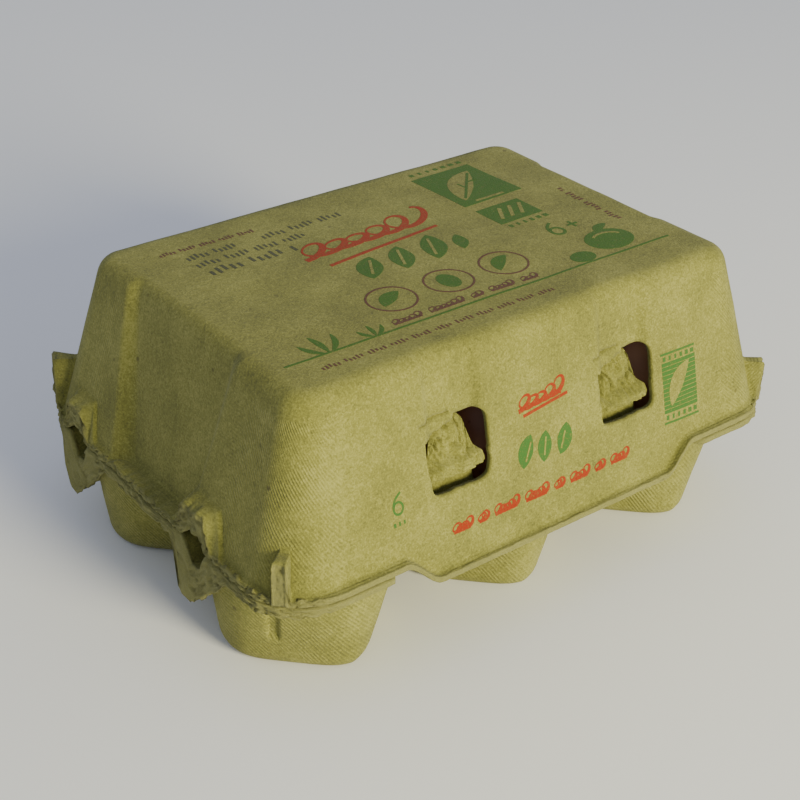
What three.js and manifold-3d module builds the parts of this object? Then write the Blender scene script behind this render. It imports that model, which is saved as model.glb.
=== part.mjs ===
// Six-egg carton of moulded paper pulp: a tray with six cups and two latch knobs, a hinged lid that is shut over it,
// and six brown eggs. Millimetres, +Z up. X runs along the front, which faces -Y. The origin is on the ground, under
// the middle of the carton, fold included.
import * as THREE from "three";
import { mergeVertices } from "three/addons/utils/BufferGeometryUtils.js";
import Module from "manifold-3d";

const wasm = await Module();
wasm.setup();

// Overall size
const HEIGHT = 69.1;
const RIM_HALF_X = 76;
const RIM_HALF_Y = 54.2;
const RIM_CORNER = 15;
const TOP_HALF_X = 62.5;
const TOP_FRONT = 41.5;
const TOP_BACK = 42.5;
const TOP_CORNER = 6;
const JOINT_Z = 27.2; // where the lid's rim meets the tray's rim
const PULP = 1.8; // thickness of the pulp
const GAP = 0.3; // between pieces that touch

// Lid
const LIP = 1.8; // how far the rim stands out from the foot of the wall
const TOP_EDGE = 4.6; // how far the rounding of the top edge reaches
const FOOT_FILLET = 1.2;
const FLAP_DROP = 6.4; // the front of the rim hangs lower in the middle
const FLAP_EDGE_Y = -55.3;
const FLAP_HALF = 34;
const FLAP_SHOULDER = 43.4;
const HINGE_Y = 58.3; // the fold along the back rim
const HINGE_FULL = 69.6;
const HINGE_END = 72.2;

// Windows in the front wall, for the latch knobs
const WINDOW_X = 24.8;
const WINDOW_WIDTH = 17.6;
const WINDOW_LOW = 38.2;
const WINDOW_HIGH = 54.4;
const WINDOW_CORNER = 2.6;
const GROOVE_HALF = 8.1; // flute from each window up to the top edge
const GROOVE_SIDE = 2.4;
const GROOVE_LOW_DEPTH = 1.8;
const GROOVE_TOP_DEPTH = 0.9;

// Recess in each end wall
const RECESS_LOW_DEPTH = 3.5;
const RECESS_TOP_DEPTH = 1.5;
const RECESS_BACK_LOW = 19.3;
const RECESS_BACK_TOP = 26.2;
const RECESS_BACK_SLOPE_LOW = 6.2;
const RECESS_BACK_SLOPE_TOP = 3.4;
const RECESS_FRONT_LOW = 15;
const RECESS_FRONT_TOP = 20.5;
const RECESS_FRONT_SLOPE = 3.6;

// Two small tunnels across each end rim: the lid's rim arches up and the tray's rim dips
const TUNNELS_Y = [-19.5, 33.5];
const ARCH_WIDE = [1.15, 0.85]; // the front arch is wider than the back one
const ARCH_OUT = { rise: 7.4, flat: 3.2, foot: 6.6 };
const ARCH_IN = { rise: 8.6, flat: 4.8, foot: 9.2 };
const TUNNEL_HOLE_FLAT = 1.6;
const TUNNEL_HOLE_FOOT = 5;
const TUNNEL_HOLE_RISE = 2.8;
const TUNNEL_HOLE_DIP = 5.8;
// The lump under a tunnel: distance from the tunnel's middle and depth, steep at the back and slowly rising at the front
const LUMP = [[-13.5, 0], [-7.8, 5.9], [-1.8, 10.8], [3.8, 15.2], [7.2, 15], [9.2, 0]];

// Upright ribs on the four corners
const LUG_HALF = 1.6;
const LUG_SIDE = 0.5;
const LUG_FROM_END = 40; // degrees round the corner from the end wall
const LUG_RISE_FRONT = 9.2;
const LUG_RISE_BACK = 12.6;

// Tray
const PITCH_X = 50;
const PITCH_Y = 51;
const FOOT_EDGE = 3; // rounding of the foot's edge
// The cups are eight-sided: height, half width, half depth, distance of the diagonal faces from the middle, and shift
// along X. They lean a little to the left at the foot.
const CUP_PROFILE = [
  [0, 19.1, 21.2, 16.9, -1.5],
  [19, 22.4, 23, 21.2, -0.5],
  [25.4, 25, 24.4, 24.8, 0],
];
const CUP_SIDES = 28;
const FLOOR = 1.8;
const FRONT_EDGE = 49.7; // the tray's rim is set back behind the lid's front flap
const FRONT_EDGE_HALF = 44.5;
const POST_TOP = 47;
const POST_LOW_RADIUS = 10.5;
const POST_TOP_RADIUS = 5;
const SLOT_WIDTH = 3.4;
const SLOT_LOW = 9.2;
const SLOT_HIGH = 19.5;
const SLOT_DEPTH = 1;

// Eggs
const EGG_LENGTH = 55;
const EGG_BREADTH = 40;
const EGG_TAPER = 0.12;
const EGG_LOW = [4, 2.8, 3.3]; // left, middle and right: the foot of each cup leans to the left
const EGG_END_X = 48.4; // the four end eggs lean in a little from the middles of their cups

const PULP_COLOUR = "#aaa45f";
const EGG_COLOUR = "#a9683f";

const clamp = (value) => Math.min(1, Math.max(0, value));
const smooth = (value) => clamp(value) ** 2 * (3 - 2 * clamp(value));
const lerp = (a, b, t) => a + (b - a) * t;

// 1 on the flat, falling to 0 at the foot, on both sides of a middle
function ramp(place, middle, flat, foot) {
  return clamp((foot - Math.abs(place - middle)) / (foot - flat));
}

// Solids and geometries

function solidOf(geometry) {
  const bare = geometry.index ? geometry.toNonIndexed() : geometry.clone();
  bare.deleteAttribute("normal");
  bare.deleteAttribute("uv");
  const merged = mergeVertices(bare, 1e-4);
  const vertProperties = new Float32Array(merged.attributes.position.array);
  const triVerts = new Uint32Array(merged.index.array);
  return new wasm.Manifold(new wasm.Mesh({ numProp: 3, vertProperties, triVerts }));
}

function geometryOf(solid) {
  const mesh = solid.getMesh();
  const geometry = new THREE.BufferGeometry();
  geometry.setAttribute("position", new THREE.BufferAttribute(new Float32Array(mesh.vertProperties), 3));
  geometry.setIndex(new THREE.BufferAttribute(new Uint32Array(mesh.triVerts), 1));
  const flat = geometry.toNonIndexed();
  flat.computeVertexNormals();
  return flat;
}

// A closed skin through rings of points, each ring counter-clockwise from above, from the top middle outwards and down
// to the bottom middle.
function skin(firstMiddle, rings, lastMiddle) {
  const count = rings[0].length;
  const points = [firstMiddle, ...rings.flat(), lastMiddle];
  const last = points.length - 1;
  const at = (ring, i) => 1 + ring * count + (i % count);
  const faces = [];
  for (let i = 0; i < count; i++) {
    faces.push(0, at(0, i), at(0, i + 1));
    for (let ring = 0; ring < rings.length - 1; ring++) {
      faces.push(at(ring, i), at(ring + 1, i), at(ring + 1, i + 1));
      faces.push(at(ring, i), at(ring + 1, i + 1), at(ring, i + 1));
    }
    faces.push(last, at(rings.length - 1, i + 1), at(rings.length - 1, i));
  }
  const geometry = new THREE.BufferGeometry();
  geometry.setAttribute("position", new THREE.Float32BufferAttribute(points.flat(), 3));
  geometry.setIndex(faces);
  return geometry;
}

// An upright prism with a plan outline, from low to high
function prism(outline, low, high) {
  const shape = new THREE.Shape(outline.map(([x, y]) => new THREE.Vector2(x, y)));
  const geometry = new THREE.ExtrudeGeometry(shape, { depth: high - low, bevelEnabled: false });
  return geometry.translate(0, 0, low);
}

// Stations round the rim, counter-clockwise from above. Each has its place on the rim, its place on the sharp outline of
// the top, and its outward direction.
const FRONT_PLACES = [52, FLAP_SHOULDER, 38.7, FLAP_HALF, 32.9, 30.5, WINDOW_X, 19.1, 16.7, 9];
const END_PLACES = [-34, -30.1, -27.1, -25, -23.2, -19.5, -15.8, -14, -11.9, -8.9, -4, 1, 5.5, 9.5, 13.5, 17, 21];
const BACK_ARCH_PLACES = [25.7, 27.9, 29.4, 30.8, 33.5, 36.2, 37.8];
const LUG_ANGLES = [-LUG_HALF - LUG_SIDE, -LUG_HALF, 0, LUG_HALF, LUG_HALF + LUG_SIDE].map(
  (across) => LUG_FROM_END + THREE.MathUtils.radToDeg(across / RIM_CORNER),
);
const CORNER_ANGLES = [0, 12, 22, ...LUG_ANGLES, 57.5, 67, 78, 90]; // from the end wall

function stationsRound() {
  const mirrored = (places) => [...places.map((p) => -p), 0, ...[...places].reverse()];
  const front = mirrored(FRONT_PLACES);
  const end = [...END_PLACES, ...BACK_ARCH_PLACES];
  const backwards = (places) => [...places].reverse().map((p) => -p);
  return [
    ...side([1, 0], [0, -1], front),
    ...side([0, 1], [1, 0], end),
    ...side([-1, 0], [0, 1], mirrored([48, 36, 24, 12])),
    ...side([0, -1], [-1, 0], backwards(end)),
  ];
}

// One straight side and the corner after it
function side(along, out, places) {
  const [rimAlong, rimOut] = out[0] ? [RIM_HALF_Y, RIM_HALF_X] : [RIM_HALF_X, RIM_HALF_Y];
  const turn = [along, out].map((d) => new THREE.Vector2(...d));
  const topReach = (d) => (d.x ? TOP_HALF_X : d.y < 0 ? TOP_FRONT : TOP_BACK) - TOP_CORNER;
  const rimStraight = rimAlong - RIM_CORNER;
  const onTop = (u) => {
    const topStraight = topReach(turn[0].clone().multiplyScalar(Math.sign(u) || 1));
    const kept = 0.84 * topStraight;
    const beyond = Math.max(0, Math.abs(u) - kept) / (rimStraight - kept);
    return Math.sign(u) * (Math.min(Math.abs(u), kept) + beyond * (topStraight - kept));
  };
  const place = (u, v) => [along[0] * u + out[0] * v, along[1] * u + out[1] * v];
  const straight = places.map((u) => ({
    rim: place(u, rimOut),
    top: place(onTop(u), topReach(turn[1]) + TOP_CORNER),
    out,
    aroundFromEnd: null,
  }));
  const degrees = out[0] ? CORNER_ANGLES : [...CORNER_ANGLES].reverse();
  const turned = degrees.map((fromEnd) => {
    const angle = THREE.MathUtils.degToRad(out[0] ? fromEnd : 90 - fromEnd);
    const [s, c] = [Math.sin(angle), Math.cos(angle)];
    return {
      rim: place(rimStraight + RIM_CORNER * s, rimOut - RIM_CORNER + RIM_CORNER * c),
      top: place(topReach(turn[0]) + TOP_CORNER * s, topReach(turn[1]) + TOP_CORNER * c),
      out: place(s, c),
      aroundFromEnd: fromEnd,
    };
  });
  return [...straight, ...turned];
}

// What rises and falls along the rim

const onEnd = (station) => Math.abs(station.rim[0]) > 62;
const onFront = (station) => station.out[1] < -0.99;
const flapDrop = (s) => (onFront(s) ? FLAP_DROP * ramp(s.rim[0], 0, FLAP_HALF, FLAP_SHOULDER) : 0);
const tunnelAt = (s, flat, foot) =>
  onEnd(s) ? Math.max(...TUNNELS_Y.map((middle) => ramp(s.rim[1], middle, flat, foot))) : 0;
const archAt = (s, { rise, flat, foot }) =>
  onEnd(s)
    ? rise * Math.max(...TUNNELS_Y.map((middle, i) => ramp(s.rim[1], middle, flat * ARCH_WIDE[i], foot * ARCH_WIDE[i])))
    : 0;
const lugAt = (s) => {
  if (s.aroundFromEnd === null) return 0;
  const across = THREE.MathUtils.degToRad(s.aroundFromEnd - LUG_FROM_END) * RIM_CORNER;
  return ramp(across, 0, LUG_HALF, LUG_HALF + LUG_SIDE);
};

function rimHeights(s) {
  const flange = JOINT_Z + PULP - flapDrop(s);
  const lug = (s.rim[1] > 0 ? LUG_RISE_BACK : LUG_RISE_FRONT) * lugAt(s);
  return {
    outer: flange + Math.max(archAt(s, ARCH_OUT), lug),
    inner: flange + Math.max(archAt(s, ARCH_IN), lug),
    under: JOINT_Z + GAP / 2 - flapDrop(s) + TUNNEL_HOLE_RISE * tunnelAt(s, TUNNEL_HOLE_FLAT, TUNNEL_HOLE_FOOT),
  };
}

// The hinge fold stands out along the back of the rim, and the flap along its front
function rimEdge(s) {
  const atBack = s.rim[1] > 0;
  const aim = atBack ? HINGE_Y : FLAP_EDGE_Y;
  const share = atBack ? ramp(s.rim[0], 0, HINGE_FULL, HINGE_END) : flapDrop(s) / FLAP_DROP;
  return [s.rim[0], lerp(s.rim[1], aim, share)];
}

// How far the wall is pressed in at a height
function indent(s, height) {
  const t = clamp((height - JOINT_Z) / (HEIGHT - JOINT_Z));
  if (onFront(s)) {
    const across = Math.max(...[-WINDOW_X, WINDOW_X].map((middle) =>
      ramp(s.rim[0], middle, GROOVE_HALF - GROOVE_SIDE, GROOVE_HALF)));
    const up = clamp((height - WINDOW_LOW) / (WINDOW_HIGH - WINDOW_LOW));
    return smooth(across) * up * lerp(GROOVE_LOW_DEPTH, GROOVE_TOP_DEPTH, clamp((height - WINDOW_HIGH) / 12));
  }
  if (!onEnd(s)) return 0;
  const backSlope = lerp(RECESS_BACK_SLOPE_LOW, RECESS_BACK_SLOPE_TOP, t);
  const fromBack = (lerp(RECESS_BACK_LOW, RECESS_BACK_TOP, t) - s.rim[1]) / backSlope;
  const fromFront = (s.rim[1] + lerp(RECESS_FRONT_LOW, RECESS_FRONT_TOP, t)) / RECESS_FRONT_SLOPE;
  return smooth(Math.min(fromBack, fromFront)) * lerp(RECESS_LOW_DEPTH, RECESS_TOP_DEPTH, t);
}

// The wall's face at a height, set back inwards by a thickness
function wallPoint(s, height, setBack = 0) {
  const t = (height - JOINT_Z) / (HEIGHT - JOINT_Z);
  const inwards = indent(s, height) + setBack;
  const plan = [0, 1].map((k) => lerp(s.rim[k] - s.out[k] * LIP, s.top[k], t) - s.out[k] * inwards);
  return [...plan, height];
}

// The rounded edge between wall and top: t is 0 on the wall and 1 on the top
function edgePoint(s, t, setBack, drop) {
  const reach = TOP_EDGE - setBack * 0.4;
  const low = wallPoint(s, HEIGHT - drop - reach, setBack);
  const sharp = wallPoint(s, HEIGHT - drop, setBack);
  const flat = [s.top[0] - s.out[0] * (reach + setBack), s.top[1] - s.out[1] * (reach + setBack), HEIGHT - drop];
  return [0, 1, 2].map((k) => (1 - t) ** 2 * low[k] + 2 * t * (1 - t) * sharp[k] + t ** 2 * flat[k]);
}

function lidRings(stations) {
  const ring = (point) => stations.map(point);
  const outer = [
    ...[1, 0.66, 0.33, 0].map((t) => ring((s) => edgePoint(s, t, 0, 0))),
    ...[0.17, 0.36, 0.55, 0.74, 0.9, 1].map((g) =>
      ring((s) => wallPoint(s, lerp(HEIGHT - TOP_EDGE, rimHeights(s).inner + FOOT_FILLET, g))),
    ),
    ring((s) => {
      const [x, y] = wallPoint(s, rimHeights(s).inner);
      return [x + s.out[0] * FOOT_FILLET, y + s.out[1] * FOOT_FILLET, rimHeights(s).inner];
    }),
    ring((s) => [...rimEdge(s), rimHeights(s).outer]),
    ring((s) => [...rimEdge(s), rimHeights(s).under]),
  ];
  const inner = [
    ring((s) => wallPoint(s, rimHeights(s).under, PULP)),
    ...[0.5, 0].map((g) =>
      ring((s) => wallPoint(s, lerp(HEIGHT - PULP - TOP_EDGE, rimHeights(s).under, g), PULP)),
    ),
    ...[0.4, 1].map((t) => ring((s) => edgePoint(s, t, PULP, PULP))),
  ];
  return [...outer, ...inner];
}

// An opening through the front wall with rounded corners
function windowCutter(middle) {
  const shape = new THREE.Shape();
  const [w, h, r] = [WINDOW_WIDTH / 2, (WINDOW_HIGH - WINDOW_LOW) / 2, WINDOW_CORNER];
  shape.moveTo(-w + r, -h);
  shape.lineTo(w - r, -h);
  shape.absarc(w - r, -h + r, r, -Math.PI / 2, 0);
  shape.absarc(w - r, h - r, r, 0, Math.PI / 2);
  shape.absarc(-w + r, h - r, r, Math.PI / 2, Math.PI);
  shape.absarc(-w + r, -h + r, r, Math.PI, 1.5 * Math.PI);
  const depth = 20;
  const geometry = new THREE.ExtrudeGeometry(shape, { depth, bevelEnabled: false, curveSegments: 3 });
  geometry.rotateX(Math.PI / 2);
  return geometry.translate(middle, -RIM_HALF_Y + depth, (WINDOW_LOW + WINDOW_HIGH) / 2);
}

function lidSolid() {
  const shell = solidOf(skin([0, 0, HEIGHT], lidRings(stationsRound()), [0, 0, HEIGHT - PULP]));
  return [-WINDOW_X, WINDOW_X].reduce((cut, x) => cut.subtract(solidOf(windowCutter(x))), shell);
}

// Cups: eight-sided at the foot, rounder and larger towards the rim. The section at a height is a square and a diamond
// that are blended into one soft outline.

function cupSection(height) {
  const upper = CUP_PROFILE.findIndex(([z], i) => i > 0 && (z >= height || i === CUP_PROFILE.length - 1));
  const [below, above] = [CUP_PROFILE[upper - 1], CUP_PROFILE[upper]];
  const t = (height - below[0]) / (above[0] - below[0]);
  const [, halfX, halfY, diagonal, shift] = below.map((value, i) => lerp(value, above[i], t));
  const rounded = height < FOOT_EDGE ? FOOT_EDGE - Math.sqrt(FOOT_EDGE ** 2 - (FOOT_EDGE - height) ** 2) : 0;
  const sharpness = lerp(16, 7, clamp(height / JOINT_Z));
  const [faceX, faceY, faceDiagonal] = [halfX, halfY, diagonal].map((reach) => reach - 0.8 * rounded);
  return { faceX, faceY, faceDiagonal, shift, sharpness };
}

function cupPoint(cx, cy, angle, height, thinner, z) {
  const { faceX, faceY, faceDiagonal, shift, sharpness } = cupSection(height);
  const [c, s] = [Math.abs(Math.cos(angle)), Math.abs(Math.sin(angle))];
  const faces = [c / faceX, s / faceY, (c + s) / Math.SQRT2 / faceDiagonal];
  const reach = faces.reduce((sum, face) => sum + face ** sharpness, 0) ** (-1 / sharpness) - thinner;
  return [cx + shift + reach * Math.cos(angle), cy + reach * Math.sin(angle), z];
}

// levels are pairs of the cup's own height and the height that the ring is drawn at, from the top down
function cupForm(cx, cy, levels, thinner) {
  const angles = Array.from({ length: CUP_SIDES }, (_, i) => (i / CUP_SIDES) * 2 * Math.PI);
  const rings = levels.map(([height, z]) => angles.map((a) => cupPoint(cx, cy, a, height, thinner, z)));
  return solidOf(skin([cx, cy, levels[0][1]], rings, [cx, cy, levels[levels.length - 1][1]]));
}

const FOOT_LEVELS = [FOOT_EDGE, FOOT_EDGE * 0.35, 0];
const CUP_TOP = JOINT_Z - 0.6;
const cupOutside = (cx, cy) => cupForm(cx, cy, [CUP_TOP, 19, 9.5, ...FOOT_LEVELS].map((z) => [z, z]), 0);
const cupInside = (cx, cy) => {
  const above = JOINT_Z + 3;
  return cupForm(cx, cy, [[above, above], ...[19, 9.5, ...FOOT_LEVELS].map((z) => [z, z + FLOOR])], PULP);
};

// The tray's rim plate, set back along the front where the lid's flap hangs over it
function rimPlate(stations) {
  const rounded = stations.filter((s) => !onFront(s)).map(rimEdge);
  const front = [
    [-FRONT_EDGE_HALF, -RIM_HALF_Y],
    [-FRONT_EDGE_HALF, -FRONT_EDGE],
    [FRONT_EDGE_HALF, -FRONT_EDGE],
    [FRONT_EDGE_HALF, -RIM_HALF_Y],
  ];
  const outline = [...front, ...rounded].filter(
    (point, i, all) => Math.hypot(point[0] - all.at(i - 1)[0], point[1] - all.at(i - 1)[1]) > 0.01,
  );
  return solidOf(prism(outline, JOINT_Z - PULP, JOINT_Z - GAP / 2));
}

// A wedge or trough across one end rim, from its outline in Y and Z
function acrossEnd(outline, sign, from, to) {
  const shape = new THREE.Shape(outline.map(([y, z]) => new THREE.Vector2(y, z)));
  const geometry = new THREE.ExtrudeGeometry(shape, { depth: to - from, bevelEnabled: false });
  geometry.applyMatrix4(new THREE.Matrix4().set(0, 0, 1, from, 1, 0, 0, 0, 0, 1, 0, 0, 0, 0, 0, 1));
  if (sign < 0) geometry.rotateZ(Math.PI).scale(1, -1, 1);
  const solid = solidOf(sign < 0 ? turnedRound(geometry) : geometry);
  return solid;
}

// A mirrored geometry with its faces turned to point outwards again
function turnedRound(geometry) {
  const flat = geometry.index ? geometry.toNonIndexed() : geometry;
  const position = flat.attributes.position;
  for (let i = 0; i < position.count; i += 3) {
    const [a, b] = [1, 2].map((k) => new THREE.Vector3().fromBufferAttribute(position, i + k));
    position.setXYZ(i + 1, b.x, b.y, b.z);
    position.setXYZ(i + 2, a.x, a.y, a.z);
  }
  return flat;
}

function dip(sign, middle) {
  const top = JOINT_Z - PULP + 0.1;
  const outline = LUMP.map(([away, deep]) => [middle + away, top - deep]);
  const outer = middle > 0 ? RIM_HALF_X - 1.2 : RIM_HALF_X;
  return acrossEnd(outline, sign, PITCH_X + 14, outer);
}

function trough(sign, middle) {
  const top = JOINT_Z + 1;
  const outline = [
    [middle - TUNNEL_HOLE_FOOT, top],
    [middle - TUNNEL_HOLE_FLAT, JOINT_Z - TUNNEL_HOLE_DIP],
    [middle + TUNNEL_HOLE_FLAT, JOINT_Z - TUNNEL_HOLE_DIP],
    [middle + TUNNEL_HOLE_FOOT, top],
  ];
  return acrossEnd(outline, sign, PITCH_X + 12, RIM_HALF_X + 2);
}

// The hollow posts between the cups that keep the lid off the eggs
function post(x, low, high, lowRadius, highRadius) {
  const profile = [
    [0, low],
    [lowRadius, low],
    [lerp(lowRadius, highRadius, 0.55), lerp(low, high, 0.4)],
    [highRadius, high - 2],
    [highRadius - 1.6, high],
    [0, high],
  ];
  const geometry = new THREE.LatheGeometry(profile.map(([r, z]) => new THREE.Vector2(r, z)), 20);
  return solidOf(geometry.rotateX(Math.PI / 2).translate(x, 0, 0));
}

// A shallow upright slot in the outer corner of a corner cup
function cornerSlot(sx, sy) {
  const angle = Math.atan2(0.75, 1);
  const radiusAt = (z) => Math.hypot(...cupPoint(-cupSection(z).shift, 0, angle, z, 0, 0).slice(0, 2));
  const [low, high] = [radiusAt(SLOT_LOW), radiusAt(SLOT_HIGH)];
  const box = new THREE.BoxGeometry(4, SLOT_WIDTH, SLOT_HIGH - SLOT_LOW);
  box.rotateY(Math.atan2(high - low, SLOT_HIGH - SLOT_LOW));
  box.translate((low + high) / 2 - SLOT_DEPTH + 2, 0, (SLOT_LOW + SLOT_HIGH) / 2);
  box.rotateZ(Math.atan2(sy * Math.sin(angle), sx * Math.cos(angle)));
  return solidOf(box.translate(sx * PITCH_X + cupSection(SLOT_LOW).shift, (sy * PITCH_Y) / 2, 0));
}

// A latch knob: a tongue that rises behind the front wall and swells out through the window like half a bell.
// Each row is the height, the half width, how far the middle of its face lies behind the wall's outer face, and its
// thickness.
const KNOB_ROWS = [
  [WINDOW_HIGH - 1.4, 2, 3.9, 1.6],
  [WINDOW_HIGH - 2.4, 4, 3.0, 3],
  [WINDOW_HIGH - 4.6, 5.4, 2.2, 3.6],
  [WINDOW_LOW + 9, 6.2, 1.7, 4],
  [WINDOW_LOW + 6, 7, 1.2, 4.2],
  [WINDOW_LOW + 3.7, 8, 0.7, 4.4],
  [WINDOW_LOW + 2.9, 7.8, 1.3, 3.6],
  [WINDOW_LOW + 2.3, 7.2, PULP + 0.6, 2.4],
  [JOINT_Z - PULP + 0.3, 8, PULP + 0.6, 2.4],
];
const KNOB_ROUND = [-1, -0.86, -0.5, 0, 0.5, 0.86, 1];

function knob(middle) {
  const wallY = (z) => -lerp(RIM_HALF_Y - LIP, TOP_FRONT, (z - JOINT_Z) / (HEIGHT - JOINT_Z));
  const rings = KNOB_ROWS.map(([z, half, setBack, thick]) => {
    const front = KNOB_ROUND.map((u) => {
      const round = z > WINDOW_LOW ? 0.34 * half * (1 - Math.sqrt(1 - Math.min(1, u * u) * 0.96)) : 0;
      return [middle + u * half, wallY(z) + setBack + round, z];
    });
    const back = [...KNOB_ROUND].reverse().map((u) => [middle + u * half * 0.9, wallY(z) + setBack + thick, z]);
    return [...front, ...back];
  });
  const middleOf = ([z, , setBack, thick]) => [middle, wallY(z) + setBack + thick / 2, z];
  return solidOf(skin(middleOf(KNOB_ROWS[0]), rings, middleOf(KNOB_ROWS.at(-1))));
}

const CUPS = [-1, 0, 1].flatMap((i) => [-1, 1].map((j) => [i * PITCH_X, (j * PITCH_Y) / 2]));
const POSTS_X = [-PITCH_X / 2, PITCH_X / 2];
const ENDS = [-1, 1].flatMap((sign) => TUNNELS_Y.map((y) => [sign, y]));

function traySolid() {
  const added = [
    ...CUPS.map(([x, y]) => cupOutside(x, y)),
    ...ENDS.map(([sign, y]) => dip(sign, y)),
    ...POSTS_X.map((x) => post(x, JOINT_Z - PULP, POST_TOP, POST_LOW_RADIUS, POST_TOP_RADIUS)),
    ...[-WINDOW_X, WINDOW_X].map(knob),
  ];
  const cut = [
    ...CUPS.map(([x, y]) => cupInside(x, y)),
    ...ENDS.map(([sign, y]) => trough(sign, y)),
    ...POSTS_X.map((x) => post(x, JOINT_Z - PULP - 2, POST_TOP - PULP, POST_LOW_RADIUS - PULP, POST_TOP_RADIUS - PULP)),
    ...[-1, 1].flatMap((sx) => [-1, 1].map((sy) => cornerSlot(sx, sy))),
  ];
  const whole = added.reduce((sum, solid) => sum.add(solid), rimPlate(stationsRound()));
  return cut.reduce((rest, solid) => rest.subtract(solid), whole);
}

// An egg stands on its pointed end
function eggGeometry() {
  const steps = 11;
  const profile = Array.from({ length: steps + 1 }, (_, i) => {
    const angle = (i / steps) * Math.PI;
    const radius = (EGG_BREADTH / 2) * Math.sin(angle) * (1 - EGG_TAPER * Math.cos(angle));
    return new THREE.Vector2(i % steps ? radius : 0, (EGG_LENGTH / 2) * (1 - Math.cos(angle)));
  });
  return new THREE.LatheGeometry(profile, 20).rotateX(Math.PI / 2);
}

// The origin is in the middle of the whole, from the flap's edge to the fold
const carton = new THREE.Group();
const placed = new THREE.Group();
placed.position.y = -(HINGE_Y + FLAP_EDGE_Y) / 2;
carton.add(placed);

const pulp = new THREE.MeshStandardMaterial({ color: PULP_COLOUR, roughness: 0.95, metalness: 0 });
const shell = new THREE.MeshStandardMaterial({ color: EGG_COLOUR, roughness: 0.55, metalness: 0 });

function addNode(name, geometry, material) {
  const mesh = new THREE.Mesh(geometry, material);
  mesh.name = name;
  placed.add(mesh);
  return mesh;
}

addNode("tray", geometryOf(traySolid()), pulp);
addNode("lid", geometryOf(lidSolid()), pulp.clone());

const COLUMNS = ["left", "middle", "right"];
for (const [x, y] of CUPS) {
  const name = `egg_${y < 0 ? "front" : "back"}_${COLUMNS[x / PITCH_X + 1]}`;
  const egg = addNode(name, eggGeometry(), shell.clone());
  egg.position.set(Math.sign(x) * EGG_END_X, y, EGG_LOW[x / PITCH_X + 1]);
}

export default carton;
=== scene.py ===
import math
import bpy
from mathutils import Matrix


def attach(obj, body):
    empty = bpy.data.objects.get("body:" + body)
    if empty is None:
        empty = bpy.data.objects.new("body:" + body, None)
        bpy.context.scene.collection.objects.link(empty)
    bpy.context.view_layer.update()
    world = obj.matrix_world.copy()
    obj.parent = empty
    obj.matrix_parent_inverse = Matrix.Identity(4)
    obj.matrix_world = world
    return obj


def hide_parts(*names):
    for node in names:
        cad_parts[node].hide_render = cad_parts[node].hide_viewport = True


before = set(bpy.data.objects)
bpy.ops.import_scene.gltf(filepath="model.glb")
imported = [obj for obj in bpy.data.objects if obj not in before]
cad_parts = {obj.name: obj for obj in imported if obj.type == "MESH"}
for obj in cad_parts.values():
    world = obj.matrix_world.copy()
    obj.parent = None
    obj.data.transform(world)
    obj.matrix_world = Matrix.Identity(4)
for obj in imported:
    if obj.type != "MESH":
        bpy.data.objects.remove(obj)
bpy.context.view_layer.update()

from types import SimpleNamespace

import bmesh
import bpy
from mathutils import Matrix, Vector, noise

# A six-egg carton of moulded paper pulp, shut over six brown eggs. Lengths are in millimetres, measured
# from the middle of the rim. Each finished piece is scaled to metres and moved by SHIFT_Y into the frame.

HEIGHT = 69.1
RIM_HALF_X = 76.0
RIM_HALF_Y = 54.2
RIM_CORNER = 15.0
TOP_HALF_X = 62.5
TOP_FRONT = 41.5
TOP_BACK = 42.5
TOP_CORNER = 6.0
JOINT_Z = 27.2
PULP = 1.8
GAP = 0.3

# Lid
LIP = 1.8
TOP_EDGE = 4.6
FOOT_FILLET = 1.2
FLAP_DROP = 6.4
FLAP_EDGE_Y = -55.3
FLAP_HALF = 34.0
FLAP_SHOULDER = 43.4
HINGE_Y = 58.3
HINGE_FULL = 69.6
HINGE_END = 72.2
SHIFT_Y = -(HINGE_Y + FLAP_EDGE_Y) / 2

# Windows in the front wall, and the flute above each
WINDOW_X = 24.8
WINDOW_WIDTH = 17.6
WINDOW_LOW = 38.2
WINDOW_HIGH = 54.4
GROOVE_HALF = 8.1
GROOVE_SIDE = 2.4
GROOVE_LOW_DEPTH = 1.8
GROOVE_TOP_DEPTH = 0.9

# Recess in each end wall
RECESS_LOW_DEPTH = 3.5
RECESS_TOP_DEPTH = 1.5
RECESS_BACK_LOW = 19.3
RECESS_BACK_TOP = 26.2
RECESS_BACK_SLOPE_LOW = 6.2
RECESS_BACK_SLOPE_TOP = 3.4
RECESS_FRONT_LOW = 15.0
RECESS_FRONT_TOP = 20.5
RECESS_FRONT_SLOPE = 3.6

# Tunnels across the end rims, under arches: an arch's rise, and half its width at the top and at the foot
TUNNELS_Y = (-19.5, 33.5)
ARCH_WIDE = (1.15, 0.85)
ARCH_OUT = (7.4, 3.2, 6.6)
ARCH_IN = (8.6, 4.8, 9.2)
HOLE_FLAT = 1.6
HOLE_FOOT = 5.0
HOLE_RISE = 2.8
HOLE_DIP = 5.8
# The lump under a tunnel: distance from the tunnel's middle and depth
LUMP = ((-13.5, 0.0), (-7.8, 5.9), (-1.8, 10.8), (3.8, 15.2), (7.2, 15.0), (9.2, 0.0))
END_X = 62.0

# Upright ribs on the corners
LUG_HALF = 1.6
LUG_SIDE = 0.5
LUG_FROM_END = 40.0
LUG_RISE_FRONT = 9.2
LUG_RISE_BACK = 12.6

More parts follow.
